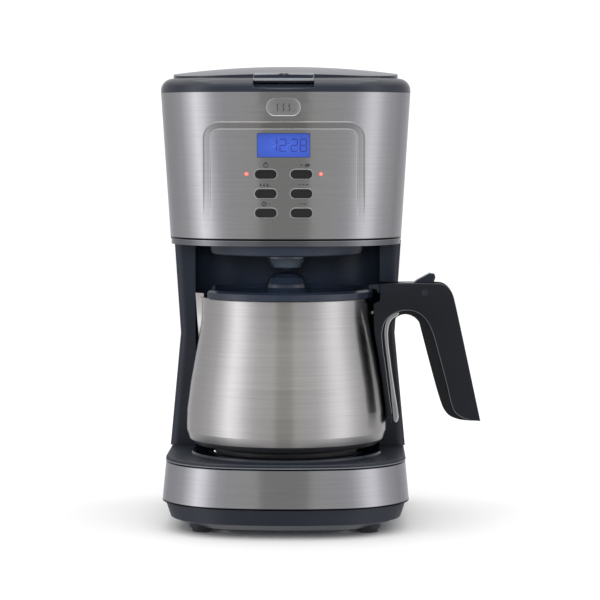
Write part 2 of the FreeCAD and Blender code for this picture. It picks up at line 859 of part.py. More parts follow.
def make_housing_rim():
    """The glossy ring round the lid: finger notch in front, hinge ears behind."""
    body = new_body("housing_rim")
    high = "shell_top"
    pad(body, level_outline(body, high, **housing_shape(high)), "rim_top - shell_top")
    round_edges(body, "rim_round", lambda edge: at_height(edge, value("rim_top")))
    gap = "0.7"
    mouth = level_outline(body, "rim_top", half=f"lid_half + {gap}", front=f"lid_front - {gap}",
                          rear="rear - 12",
                          corner="corner - 9", back="10", bow="bow - 9")
    pocket(body, mouth, "rim_top - rim_shelf")
    mouth = level_outline(body, "rim_shelf", half=f"lid_half + {gap}", front=f"lid_front - {gap}",
                          rear="lid_rear - 3",
                          corner="corner - 9", back="10", bow="bow - 9")
    pocket(body, mouth, "rim_shelf - shell_top")
    ears = sketch_on(body, "XY_Plane", "rim_shelf")
    for side in (-1, 1):
        for inner in (30, 58):
            left, right = sorted((side * inner, side * (inner + 6)))
            rectangle(ears, f"{left}", f"{right}", "hinge_y - 4", "rear - 11")
    pad(body, ears, "hinge_z + 3.5 - rim_shelf")
    holes = circle(sketch_on(body, "YZ_Plane", "-70"), "hinge_y", "hinge_z", "hinge_radius")
    pocket(body, holes, "140", back=True)
    notch = polygon(sketch_on(body, "YZ_Plane", "-notch_half"), [
        ("housing_front_top - 2", "notch_depth - 1.5"), ("lid_front - 3", "notch_depth + 3.4"),
        ("lid_front + 3", "notch_depth + 3.8"), ("lid_front + 3", "rim_top + 3"),
        ("housing_front_top - 2", "rim_top + 3")])
    pocket(body, notch, "2 * notch_half", back=True)
    return body


def make_hinge_pins():
    body = new_body("lid_hinge_pins")
    for side in (-1, 1):
        start = "30" if side > 0 else "-64"
        pad(body, circle(sketch_on(body, "YZ_Plane", start), "hinge_y", "hinge_z", "hinge_radius"), "34")
    return body


def lid_plan(inset="0"):
    return dict(half="lid_half", front="lid_front", rear="lid_rear", corner="corner - 9.7", back="9.3",
                bow="bow - 9.7", inset=inset)


def crown_ball(name, radius):
    """The sphere whose top is the lid's low crown."""
    ball = DOC.addObject("Part::Sphere", name)
    ball.setExpression("Radius", full(radius))
    ball.setExpression("Placement.Base.y", full("lid_middle"))
    ball.setExpression("Placement.Base.z", full("lid_apex - lid_crown"))
    return ball


def make_lid_knuckles():
    body = new_body("lid_knuckles")
    for left in ("36.4", "-57.6"):
        pad(body, circle(sketch_on(body, "YZ_Plane", left), "hinge_y", "hinge_z", "knuckle_radius"),
            "21.2")
    arms = sketch_on(body, "XY_Plane", "lid_lip_low")
    for left in ("36.4", "-57.6"):
        rectangle(arms, left, f"{left} + 21.2", "lid_rear - 1.5", "hinge_y")
    pad(body, arms, "hinge_z + 1.8 - lid_lip_low")
    return body


def make_top_lid():
    """A low crowned lid with a finger lip in front and two hinge knuckles behind."""
    blank = new_body("lid_blank")
    pad(blank, level_outline(blank, "lid_lip_low", **lid_plan()), "14")
    lip = rectangle(sketch_on(blank, "XY_Plane", "lid_lip_low"), "-notch_half + 0.6", "notch_half - 0.6",
                    "lid_front - 3.6", "lid_front + 1")
    pad(blank, lip, "14")
    core = new_body("lid_core")
    pad(core, level_outline(core, "lid_lip_low - 1", **lid_plan("wall")), "14")
    crowned = common("lid_crowned", blank, crown_ball("lid_crown_outer", "lid_crown"))
    hollow = common("lid_hollow", core, crown_ball("lid_crown_inner", "lid_crown - wall"))
    shell = cut("lid_shell", crowned, hollow)
    whole = fuse("lid_with_knuckles", [shell, make_lid_knuckles()])
    bore = cylinder("lid_pin_bore", "hinge_radius + pin_play", "160", ("-80", "hinge_y", "hinge_z"))
    bore.Placement.Rotation = FreeCAD.Rotation(FreeCAD.Vector(0, 1, 0), 90)
    return cut("top_lid", whole, bore)


def make_lid_liner():
    body = new_body("lid_liner")
    pad(body, level_outline(body, "lid_low - 1.2", **lid_plan("1.4")), "lid_lip_low - lid_low + 1.2")
    return body


def make_lid_channel():
    """The trough on the lid's underside that carries hot water from the riser to the spreader."""
    body = new_body("lid_channel")
    high = "lid_low - 1.2"
    pad(body, rectangle(sketch_on(body, "XY_Plane", "308.4"), "20", "40", "plate_y + 10", "54"),
        f"{high} - 308.4")
    pocket(body, rectangle(sketch_on(body, "XY_Plane", "308.4"), "22", "38", "plate_y + 12", "52"), "14",
           back=True)
    return body


def make_shower_disc():
    body = put(new_body("shower_disc"), place_y="plate_y")
    revolve(body, polygon(sketch_on(body, "XZ_Plane"), [
        ("0", "296"), ("40", "296"), ("42", "298"), ("42", "308.4"), ("40.4", "308.4"), ("40.4", "298"),
        ("0", "298")]))
    stems = sketch_on(body, "XY_Plane", "298")
    for side in (-1, 1):
        circle(stems, f"{side} * 14", "0", "3")
    pad(body, stems, "lid_low - 1.2 - 298")
    holes = sketch_on(body, "XY_Plane", "298")
    for ring, count in ((12, 6), (22, 10), (32, 14)):
        for number in range(count):
            angle = 2 * math.pi * (number + 0.5) / count
            circle(holes, f"{ring * math.cos(angle):.3f}", f"{ring * math.sin(angle):.3f}", "1.1")
    pocket(body, holes, "2")
    return body


# ---------------------------------------------------------------- brewing group

def make_basket_holder():
    inner = "holder_inner"
    return turned("basket_holder", [
        (inner, "floor_top"), (f"{inner} + 2", "floor_top"), (f"{inner} + 2", "holder_top"),
        (inner, "holder_top")])


def make_brew_basket():
    wall, low, high = "basket_wall", "basket_low", "basket_top"
    return turned("brew_basket", [
        ("plunger_radius + play", low), ("basket_radius_low - 3", low), ("basket_radius_low - 0.9",
                                                                         f"{low} + 0.9"),
        ("basket_radius_low", f"{low} + 3"), ("basket_radius_low + 0.4", "housing_low + 4"),
        ("basket_radius_top - 1", f"{high} - 2.2"), ("flange_radius", f"{high} - 2.2"),
        ("flange_radius", high),
        (f"basket_radius_top - {wall}", high), (f"basket_radius_low - {wall}", "housing_low + 5"),
        (f"basket_radius_low - {wall} - 1", f"{low} + 4.4"), ("22", f"{low} + 2.6"),
        ("plunger_radius + play", f"{low} + 2.4")])


def make_valve_collar():
    """The neck under the basket that guides the drip stop."""
    inner = "plunger_radius + play"
    return turned("valve_collar", [
        (inner, "valve_tip"), ("valve_neck - 3.6", "valve_tip"), ("valve_neck - 0.6", "valve_tip + 5.4"),
        ("valve_neck", "valve_tip + 6.6"), ("valve_neck", "basket_low"), (inner, "basket_low")])


def make_mesh_filter():
    return turned("mesh_filter", [
        ("0", "213.4"), ("46", "213.4"), ("58.6", "284"), ("58.9", "286"), ("57.7", "286"), ("57.4",
                                                                                             "284"),
        ("45", "214.4"), ("0", "214.4")])


def make_valve_plunger():
    radius, low, high = "plunger_radius", "plunger_low", "plunger_top"
    return turned("valve_plunger", [
        ("0", low), ("plunger_tip", low), (f"{radius} - 1", f"{low} + 2.4"), (radius, f"{low} + 3.6"),
        (radius, high), ("0", high)])


def make_valve_seal():
    high = "plunger_top"
    return turned("valve_seal", [
        ("0", high), ("plunger_flange", high), ("plunger_flange - 1", f"{high} + 2"), ("0",
                                                                                       f"{high} + 2")])


# ---------------------------------------------------------------- control panel

def make_lcd_glass():
    body = new_body("lcd_glass")
    wide, tall = "(screen_wide / 2 - 0.2)", "(screen_tall / 2 - 0.2)"
    panel_piece(body, "screen_front", "screen_front + 1.4", lambda sketch: rectangle(
        sketch, f"-{wide}", wide, f"screen_z - {tall}", f"screen_z + {tall}"))
    return body


def make_lcd_module():
    body = new_body("lcd_module")
    wide, tall = "(screen_wide / 2 + 1)", "(screen_tall / 2 + 1)"
    panel_piece(body, "screen_front + 1.4", "carrier_front + 2", lambda sketch: rectangle(
        sketch, "-screen_wide / 2 + 1", "screen_wide / 2 - 1", "screen_z - screen_tall / 2 + 1",
        "screen_z + screen_tall / 2 - 1"))
    panel_piece(body, "carrier_front + 2", "board_front", lambda sketch: rectangle(
        sketch, f"-{wide}", wide, f"screen_z - {tall}", f"screen_z + {tall}"))
    return body


def make_panel_carrier():
    """The plastic plate behind the steel that carries the screen, lamps and buttons."""
    body = new_body("panel_carrier")

    def draw(sketch):
        rectangle(sketch, "-carrier_half", "carrier_half", "226", "293")
        rectangle(sketch, "-screen_wide / 2 + 0.5", "screen_wide / 2 - 0.5",
                  "screen_z - screen_tall / 2 + 0.5",
                  "screen_z + screen_tall / 2 - 0.5")
        for height in button_heights():
            for side in (-1, 1):
                stadium(sketch, f"{side} * button_x", height, "button_wide - 2 * bezel",
                        "button_tall - 2 * bezel")
        for side in (-1, 1):
            circle(sketch, f"{side} * lamp_x", "lamp_z", "lamp_radius")
        return sketch

    panel_piece(body, "carrier_front", "board_front - 2", draw)
    return body


def make_control_board():
    body = new_body("control_board")
    panel_piece(body, "board_front", "board_front + 1.6", lambda sketch: rectangle(
        sketch, "1 - carrier_half", "carrier_half - 1", "227", "292"))
    return body


def make_tact_switches():
    body = new_body("tact_switches")
    sketch = sketch_on(body, "XZ_Plane", "-board_front")
    for height in button_heights():
        for side in (-1, 1):
            rectangle(sketch, f"{side} * button_x - 3", f"{side} * button_x + 3", f"{height} - 3",
                      f"{height} + 3")
    pad(body, sketch, "2")
    return body


def button_stadium(sketch, side, height, shrink):
    return stadium(sketch, f"{side} * button_x", height, f"button_wide - {shrink}",
                   f"button_tall - {shrink}")


def make_button_bezels():
    body = new_body("button_bezels")
    for height in button_heights():
        front = f"{panel_surface(height)} - 0.5"
        sketch = sketch_on(body, "XZ_Plane", f"-({front})")
        for side in (-1, 1):
            button_stadium(sketch, side, height, "0")
            button_stadium(sketch, side, height, "2 * bezel")
        pad(body, sketch, f"carrier_front - ({front})", back=True)
    return body


BUTTONS = ["button_power", "button_program", "button_cups", "button_clock", "button_hour",
           "button_minute"]


def make_button(label, side, height):
    body = new_body(label)
    front = f"{panel_surface(height)} - button_proud"
    panel_piece(body, front, "button_stem", lambda sketch: button_stadium(
        sketch, side, height, "2 * bezel - 2 * play"))
    return body


def make_indicator_lamps():
    body = new_body("indicator_lamps")
    front = f"{panel_surface('lamp_z')} + 1.2"
    sketch = sketch_on(body, "XZ_Plane", f"-({front})")
    for side in (-1, 1):
        circle(sketch, f"{side} * lamp_x", "lamp_z", "lamp_radius")
    pad(body, sketch, f"board_front - ({front})", back=True)
    return body


def make_badge():
    body = new_body("badge")
    front = f"{panel_surface('badge_z')} - 0.7"
    panel_piece(body, front, f"{panel_surface('badge_z')} + skin / 2", lambda sketch: stadium(
        sketch, "0", "badge_z", "badge_wide", "badge_tall"))
    return body


# ---------------------------------------------------------------- carafe

CARAFE_SIDE = [("62", "carafe_low"), ("68", "carafe_low + 1.2"), ("72.2", "carafe_low + 5"),
               ("74", "carafe_low + 11"), ("74.1", "75"), ("73.6", "86"), ("71", "105.8"), ("67.5",
                                                                                            "125.6"),
               ("64.5", "142"), ("63", "154"), ("carafe_mouth", "carafe_top")]


def make_carafe_body():
    """A single wall steel jug with a rolled rim and a small pouring lip on the left."""
    wall = "carafe_wall"
    outer = [("0", "carafe_low + 0.8"), ("56", "carafe_low + 0.8"), ("58", "carafe_low")] + CARAFE_SIDE
    inner = [(f"{radius} - {wall}", f"{height} + {wall if number < 3 else 0}")
             for number, (radius, height) in enumerate(CARAFE_SIDE)]
    bead = [("carafe_mouth + 1.2", "carafe_top + 0.2"), ("carafe_mouth + 0.8", "carafe_top + 0.9"),
            (f"carafe_mouth - {wall}", "carafe_top + 0.9")]
    floor = [("0", f"carafe_low + 0.8 + {wall}")]
    body = put(new_body("carafe_body"), place_y="plate_y")
    revolve(body, polygon(sketch_on(body, "XZ_Plane"), outer + bead + inner[::-1][1:] + floor))
    for shrink, cut_out in (("0", False), (wall, True)):
        low = polygon(sketch_on(body, "XY_Plane", "138.5"), [
            (f"-65.2 + {shrink}", "0"), ("-60", "-1"), ("-60", "1")])
        high = polygon(sketch_on(body, "XY_Plane", "spout_top"), [
            (f"-spout_reach + {shrink}", "0"), ("-57", f"-(11 - {shrink})"), ("-57", f"11 - {shrink}")])
        loft(body, low, high, cut=cut_out)
    inside = sketch_on(body, "XY_Plane", "spout_top + 1")
    circle(inside, "0", "0", f"carafe_mouth - {wall}")
    pocket(body, inside, "spout_top + 1 - 160")
    return body


def make_handle_strap():
    """The bright strip let into the finger side of the handle's inner leg."""
    body = put(new_body("handle_strap"), place_y="plate_y")
    strip = [("74.8", "147.9"), ("76.8", "147.9"), ("77.1", "142"), ("79.4", "118"), ("83", "84"),
             ("82.8", "80.6"), ("81.2", "78.6"), ("79.4", "79.6"), ("79.4", "84"), ("77.1", "118"),
             ("75", "142")]
    sketch = polygon(sketch_on(body, "XZ_Plane", "-handle_thick / 2 + 0.5"), strip)
    pad(body, sketch, "handle_thick - 1")
    return body


def make_handle_bracket():
    """A welded tab that joins the carafe's neck to the handle."""
    body = put(new_body("handle_bracket"), place_y="plate_y")
    sketch = polygon(sketch_on(body, "XZ_Plane", "-6"), [
        ("63.2", "156"), ("69", "158.4"), ("90", "158.4"), ("90", "160"), ("68.4", "160"),
        ("63", "157.8")])
    pad(body, sketch, "12")
    return body


def make_handle():
    """The hook-shaped handle: a top block, a long grip and a short inner leg along the carafe."""
    body = put(new_body("carafe_handle"), place_y="plate_y")
    thick = "handle_thick"
    leg = [("77.6", "75.6"), ("75.2", "77.4"), ("74.2", "86"), ("71.6", "105.8"), ("68.1", "125.6"),
           ("65.2", "142"), ("64.6", "150"), ("64.4", "164"), ("69", "166.5"), ("69", "handle_top")]
    grip = [("110", "handle_top"), ("113.4", "handle_top - 0.6"), ("116.4", "handle_top - 2.3"),
            ("118.8", "handle_top - 5"), ("120.3", "handle_top - 8.4"), ("121.2", "handle_top - 12.5"),
            ("141", "78.3"), ("129", "78.7"), ("123.4", "79.8"), ("119.2", "81.8"), ("116.2", "84.8"),
            ("114.2", "88.4"), ("112.8", "92.4"), ("98.6", "146"), ("97.6", "149.6"),
            ("95.6", "152.6"), ("92.8", "154.8"), ("89.4", "156"), ("85.8", "156"), ("82.4", "154.9"),
            ("79.4", "152.6"), ("77.4", "150.2"), ("76.7", "148"), ("74.7", "148"), ("74.9", "142"),
            ("77", "118"), ("79.3", "84"), ("79.3", "79.5"), ("81.2", "78.5"), ("80.4", "76.4")]
    pad(body, polygon(sketch_on(body, "XZ_Plane", f"-{thick} / 2"), leg + grip), thick)
    slot = rectangle(sketch_on(body, "XY_Plane", "handle_top + 1"), "60", "118.4", "-slot_half",
                     "slot_half")
    pocket(body, slot, "handle_top + 1 - slot_floor")
    tab = rectangle(sketch_on(body, "XZ_Plane", "-6"), "60", "90.5", "155.8", "160")
    pocket(body, tab, "12", back=True)
    bore = circle(sketch_on(body, "XZ_Plane", f"-{thick} / 2"), "pin_x", "pin_z", "pin_radius")
    pocket(body, bore, thick, back=True)
    screw = circle(sketch_on(body, "XY_Plane", "158.4"), "87", "0", "3.3")
    pocket(body, screw, "6")
    return body


def make_handle_screw():
    body = put(new_body("handle_screw"), place_y="plate_y")
    pad(body, circle(sketch_on(body, "XY_Plane", "156.2"), "87", "0", "3"), "2.2")
    return body


def make_lid_pin():
    body = put(new_body("carafe_lid_pin"), place_y="plate_y")
    sketch = circle(sketch_on(body, "XZ_Plane", "-handle_thick / 2 + 0.2"), "pin_x", "pin_z",
                    "pin_radius")
    pad(body, sketch, "handle_thick - 0.4")
    return body


def make_carafe_lid():
    """The jug's lid: a skirted rim, a sunk top and a round knob in the middle."""
    body = put(new_body("carafe_lid"), place_y="plate_y")
    low, high, edge, knob = "cap_low", "cap_top", "cap_radius", "knob_radius"
    revolve(body, polygon(sketch_on(body, "XZ_Plane"), [
        ("0", f"{low} + 0.3"), ("58", f"{low} + 0.3"), ("58", f"{low} - 3.4"), ("60.6", f"{low} - 3.4"),
        ("60.9", low), (edge, low), (edge, f"{high} - 1.6"), (f"{edge} - 1.6", high), ("60", high),
        ("58.4", f"{low} + 2.6"), ("18", f"{low} + 2.6"), (f"{knob} + 0.4", f"{high} + 0.6"), (knob,
                                                                                               f"{high} + 3"),
        (f"{knob} - 2", "knob_top - 3.4"), (f"{knob} - 6", "knob_top - 0.8"), (f"{knob} - 11",
                                                                               "knob_top"),
        ("0", "knob_top")]))
    spout_side = rectangle(sketch_on(body, "XY_Plane", f"{high} + 1"), "-70", "cap_cut", "-30", "30")
    pocket(body, spout_side, "14")
    return body


def make_thumb_lever():
    """The arm from the lid to its pin, with the thumb rest above the handle."""
    body = put(new_body("thumb_lever"), place_y="plate_y")
    half = "(slot_half - 0.5)"
    arm = polygon(sketch_on(body, "XZ_Plane", f"-{half}"), [
        ("61", "cap_top"), ("61", "cap_top + 2.4"), ("72", "cap_top + 3.6"), ("94", "cap_top + 4.2"),
        ("97", "cap_top + 6.4"), ("106", "186.2"), ("109.6", "185.6"), ("110.2", "183"), ("108", "177"),
        ("105.4", "170.6"), ("101", "168"), ("96.6", "169.2"), ("92", "171.6"), ("68", "171.6"),
        ("66.2", "cap_top - 0.6")])
    pad(body, arm, f"2 * {half}")
    bore = circle(sketch_on(body, "XZ_Plane", f"-{half}"), "pin_x", "pin_z", "pin_radius + pin_play")
    pocket(body, bore, f"2 * {half}", back=True)
    return body


# ---------------------------------------------------------------- assembly

def build_parts():
    parts = [
        make_base_wrap(), make_base_shell(), make_bottom_cover(), make_rubber_feet(), make_bottom_screws(),
        make_cord_inlet(), make_plate_ring(), make_warming_plate(), make_heater_element(), make_thermostat(),
        make_thermal_fuse(), make_lower_tower(), make_upper_tower(), make_rear_cover(), make_rear_screws(),
        make_water_tank(), make_check_valve(), hose("inlet_hose", -1, "52", "tank_port_y"),
        hose("riser_tube", 1, "riser_top", "riser_y"), make_water_outlet(), make_housing_wrap(),
        make_upper_housing(), make_housing_trim(), make_housing_rim(), make_hinge_pins(), make_top_lid(),
        make_lid_liner(), make_lid_channel(), make_shower_disc(), make_basket_holder(), make_brew_basket(),
        make_valve_collar(), make_mesh_filter(), make_valve_plunger(), make_valve_seal(), make_lcd_glass(),
        make_lcd_module(), make_panel_carrier(), make_control_board(), make_tact_switches(),
        make_button_bezels(), make_indicator_lamps(), make_badge(), make_carafe_body(), make_handle_strap(),
        make_handle_bracket(), make_handle(), make_handle_screw(), make_lid_pin(), make_carafe_lid(),
        make_thumb_lever(),
    ]
    for number, label in enumerate(BUTTONS):
        parts.append(make_button(label, (-1, 1)[number % 2], button_heights()[number // 2]))
    return parts


def check_document(parts):
    """Stop on any failed object, and on any part whose shape is empty or not valid."""
    failed = [item.Label for item in DOC.Objects if {"Invalid", "Error"} & set(item.State)]
    bad = [part.Label for part in parts if part.Shape.isNull() or not part.Shape.isValid()
           or not part.Shape.Solids]
    if failed or bad:
        raise RuntimeError(f"failed objects: {failed}; bad shapes: {bad}")


def main():
    parts = build_parts()
    DOC.recompute()
    check_document(parts)
    for part in parts:
        part.Shape.exportStep(f"parts/{part.Label}.step")
    print(f"{len(parts)} parts written")


main()
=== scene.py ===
import json
import math

import bpy
from bpy.props import FloatProperty, FloatVectorProperty, PointerProperty
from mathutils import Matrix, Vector


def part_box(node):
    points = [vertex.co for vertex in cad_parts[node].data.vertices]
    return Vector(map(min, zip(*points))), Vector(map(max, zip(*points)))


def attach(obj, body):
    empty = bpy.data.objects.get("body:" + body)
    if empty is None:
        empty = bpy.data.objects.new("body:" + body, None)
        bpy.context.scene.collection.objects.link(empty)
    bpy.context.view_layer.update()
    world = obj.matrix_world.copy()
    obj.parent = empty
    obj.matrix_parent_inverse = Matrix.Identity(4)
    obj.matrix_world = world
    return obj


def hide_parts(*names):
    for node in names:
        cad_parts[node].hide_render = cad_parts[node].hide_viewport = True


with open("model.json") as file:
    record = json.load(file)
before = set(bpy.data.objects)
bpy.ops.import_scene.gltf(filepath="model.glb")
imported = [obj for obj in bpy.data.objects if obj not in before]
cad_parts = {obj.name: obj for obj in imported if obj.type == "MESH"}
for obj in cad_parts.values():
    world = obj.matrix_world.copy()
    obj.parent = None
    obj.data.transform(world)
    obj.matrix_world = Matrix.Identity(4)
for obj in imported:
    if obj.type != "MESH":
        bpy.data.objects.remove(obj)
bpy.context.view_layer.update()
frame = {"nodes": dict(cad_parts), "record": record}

bl_info = {
    "name": "Drip Coffee Maker",
    "version": (1, 0, 0),
    "blender": (4, 5, 0),
    "location": "3D View > Sidebar > Coffee Maker",
    "description": "Details and finishes of a steel-fronted drip coffee maker",
    "category": "Object",
}

MM = 0.001
EVEN = (1.0, 1.0, 1.0)
LAID_DOWN = (math.radians(90), 0.0, 0.0)  # turns an upright bar so that its ends look to the front and back
UPRIGHT = math.radians(90)  # turns a level line so that it stands
PRINT = 0.12 * MM  # thickness of a printed mark
KEYS = ("button_power", "button_program", "button_cups", "button_clock", "button_hour", "button_minute")


# ---- sizes and colours

def length(name, description, default):
    return FloatProperty(name=name, description=description, default=default * MM, unit="LENGTH", precision=5)


def colour(name, description, default):
    return FloatVectorProperty(
        name=name, description=description, default=default, size=3, min=0.0, max=1.0, subtype="COLOR"
    )


class CoffeeMakerSizes(bpy.types.PropertyGroup):
    relief_outer: length("Relief half width", "Half width of the pressed arch on the front", 58.0)
    relief_band: length("Relief band", "Width of the pressed band that draws the arch", 6.4)
    relief_top: length("Relief top", "Height of the arch's outer edge above the table", 297.8)
    relief_corner: length("Relief corner", "Corner radius of the arch at its outer edge", 12.0)
    relief_fade_low: length("Relief foot", "Height at which the arch has faded into the sheet", 219.0)
    relief_fade_high: length("Relief full", "Height from which the arch is pressed fully in", 262.0)
    ridge_away: length("Ridge place", "How far the arch's ridges lie from the middle of its band", 2.5)
    ridge_round: length("Ridge rounding", "Radius of the arch's ridges", 0.55)
    ridge_proud: length("Ridge height", "How far the arch's ridges stand proud of the sheet", 0.22)
    relief_height: length("Relief height", "How far the band is pressed below the sheet", 0.26)
    key_crown: length("Key crown", "Radius along the front edge of a key", 0.7)
    key_dish: length("Key dish", "Depth of the shallow dish in a key", 0.18)
    segment_wide: length("Digit segment", "Thickness of a digit's segment", 0.75)
    digit_tall: length("Digit height", "Height of the digits in the screen", 8.6)
    digit_wide: length("Digit width", "Width of the digits in the screen", 4.3)
    mark_line: length("Mark line", "Line thickness of the small signs over the keys", 0.70)
    mark_tall: length("Mark height", "Height of the small signs over the keys", 3.7)
    edge_break: length("Edge break", "Radius that softens moulded edges", 1.0)
    grip_step: length("Grip step", "How far the finger side lies below the handle's cheeks", 2.4)
    ring_wide: length("Key ring", "Width of the bright ring round a key", 0.7)


class CoffeeMakerColours(bpy.types.PropertyGroup):
    steel: colour("Steel", "Brushed stainless steel of the housing and base", (0.578, 0.576, 0.580))
    base_steel: colour("Base steel", "Steel band round the base", (0.560, 0.560, 0.572))
    carafe_steel: colour("Carafe steel", "Satin stainless steel of the carafe", (0.70, 0.682, 0.655))
    gloss_black: colour("Gloss black", "Shiny moulded plastic", (0.013, 0.018, 0.030))
    satin_black: colour("Satin black", "Satin moulded plastic", (0.011, 0.016, 0.027))
    screen: colour("Screen light", "Backlight of the screen", (0.045, 0.105, 0.56))
    digits: colour("Digits", "Digits of the screen", (0.010, 0.018, 0.13))
    lamp: colour("Lamp", "Light of the indicator lamps", (1.0, 0.10, 0.08))
    print_ink: colour("Ink", "Printed signs over the keys", (0.020, 0.020, 0.022))


def sizes():
    return bpy.context.scene.coffee_maker_sizes


def colours():
    return bpy.context.scene.coffee_maker_colours


# ---- modelling by hand, in code

def lay_down_tools():
    """Leave edit mode and deselect everything."""
    if bpy.context.object is not None and bpy.context.object.mode != "OBJECT":
        bpy.ops.object.mode_set(mode="OBJECT")
    bpy.ops.object.select_all(action="DESELECT")


def hold(piece):
    """Leave edit mode, with this piece alone selected and active."""
    lay_down_tools()
    piece.select_set(True)
    bpy.context.view_layer.objects.active = piece
    return piece


def started(name):
    """Name the primitive that was just added and put its place in its mesh."""
    piece = bpy.context.object
    piece.name = piece.data.name = name
    bpy.ops.object.transform_apply(location=True, rotation=True, scale=True)
    return piece


def block(name, low, high):
    """A block between two corners."""
    lay_down_tools()
    low, high = Vector(low), Vector(high)
    bpy.ops.mesh.primitive_cube_add(size=1.0, location=(low + high) / 2)
    bpy.context.object.scale = high - low
    return started(name)


def block_about(name, middle, half):
    """A block by its middle and its half sizes."""
    middle, half = Vector(middle), Vector(half)
    return block(name, middle - half, middle + half)


def round_bar(name, centre, radius, depth, sides=48):
    """A round bar that runs from front to back."""
    lay_down_tools()
    bpy.ops.mesh.primitive_cylinder_add(
        vertices=sides, radius=radius, depth=depth, location=centre, rotation=LAID_DOWN
    )
    return started(name)


def pick_all(piece):
    """Select the whole mesh, and stay in edit mode."""
    hold(piece)
    bpy.ops.object.mode_set(mode="EDIT")
    bpy.ops.mesh.select_mode(type="VERT")
    bpy.ops.mesh.select_all(action="SELECT")


def pick(piece, test, kind="FACE"):
    """Select the faces, edges or points that pass the test, and stay in edit mode."""
    hold(piece)
    groups = {"VERT": piece.data.vertices, "EDGE": piece.data.edges, "FACE": piece.data.polygons}
    for group in groups.values():
        group.foreach_set("select", [False] * len(group))
    bpy.context.tool_settings.mesh_select_mode = [kind == each for each in groups]
    chosen = [item for item in groups[kind] if test(item)]
    if not chosen:
        raise RuntimeError(f"nothing to pick on {piece.name}")
    for item in chosen:
        item.select = True
    bpy.ops.object.mode_set(mode="EDIT")


def to_front(face):
    return face.normal.y < -0.9


def to_front_or_back(face):
    return abs(face.normal.y) > 0.9


def step_in(inward, back=0.0):
    """Inset the picked faces, then move them back, or forward where back is below zero."""
    bpy.ops.mesh.inset(thickness=inward)
    if back:
        bpy.ops.transform.translate(value=(0.0, back, 0.0))


def hollow(piece, wall):
    """Open a flat piece from front to back, so that only its wall is left."""
    pick(piece, to_front_or_back)
    step_in(wall)
    bpy.ops.mesh.bridge_edge_loops()
    return hold(piece)


def cut_corners(piece, corner, steps):
    """Bevel the edges that run from front to back."""
    def runs_back(edge):
        first, second = (piece.data.vertices[number].co for number in edge.vertices)
        return abs(first.y - second.y) > 0.001 * MM

    pick(piece, runs_back, "EDGE")
    bpy.ops.mesh.bevel(offset=corner, segments=steps, affect="EDGES")
    return hold(piece)


def modify(piece, kind, **settings):
    """Add a modifier and apply it."""
    hold(piece)
    modifier = piece.modifiers.new(kind.title(), kind)
    for key, setting in settings.items():
        setattr(modifier, key, setting)
    bpy.ops.object.modifier_apply(modifier=modifier.name)
    return piece


def soften(piece, radius, steps=2, angle=40.0):
    """Round every edge sharper than the angle."""
    return modify(
        piece, "BEVEL", width=radius, segments=steps, limit_method="ANGLE", angle_limit=math.radians(angle)
    )


def weld(name, pieces):
    """One piece out of several."""
    lay_down_tools()
    for piece in pieces:
        piece.select_set(True)
    bpy.context.view_layer.objects.active = pieces[0]
    bpy.ops.object.join()
    whole = bpy.context.object
    whole.name = whole.data.name = name
    return whole


def turned(piece, angle, centre):
    """Turn a piece's mesh about a line that runs from front to back through centre."""
    pick_all(piece)
    bpy.ops.transform.rotate(value=angle, orient_axis="Y", orient_type="GLOBAL", center_override=centre)
    return hold(piece)


def span(node):
    """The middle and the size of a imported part's box."""
    low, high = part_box(node)
    return (low + high) / 2, high - low


def body_of(node):
    """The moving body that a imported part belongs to."""
    for body, members in frame["record"]["behaviour"]["bodies"].items():
        if node in members:
            return body
    raise RuntimeError(f"{node} is on no body")


def fit(piece, node, finish, smooth=0.0, stands_for=True):
    """Give a piece its finish and its place on the machine.

    Edges below the angle smooth are shaded round. A piece that doesn't stand for the node only adds to it.
    """
    hold(piece)
    if smooth:
        bpy.ops.object.shade_smooth_by_angle(angle=math.radians(smooth))
    piece.data.materials.clear()
    piece.data.materials.append(FINISHES[finish])
    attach(piece, body_of(node))
    if stands_for:
        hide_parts(node)


# ---- finishes

# The colour sockets of the mix node.
MIX_AMOUNT, MIX_UNDER, MIX_OVER, MIX_RESULT = 0, 6, 7, 2


def add_node(tree, kind, out, feeds=None, **settings):
    """Add a node and feed its sockets with constants or other nodes' outputs; gives its output called out."""
    node = tree.nodes.new("ShaderNode" + kind)
    for key, setting in settings.items():
        setattr(node, key, setting)
    for socket, given in (feeds or {}).items():
        if isinstance(given, bpy.types.NodeSocket):
            tree.links.new(given, node.inputs[socket])
        else:
            node.inputs[socket].default_value = given
    return node.outputs[out]


def add_ramp(tree, fac, stops):
    """A colour that changes with fac; a stop is (place, colour)."""
    blend = add_node(tree, "ValToRGB", "Color", {"Fac": fac})
    elements = blend.node.color_ramp.elements
    while len(elements) < len(stops):
        elements.new(1.0)
    for element, (place, shade_of) in zip(elements, stops):
        element.position = place
        element.color = (*shade_of, 1.0)
    return blend


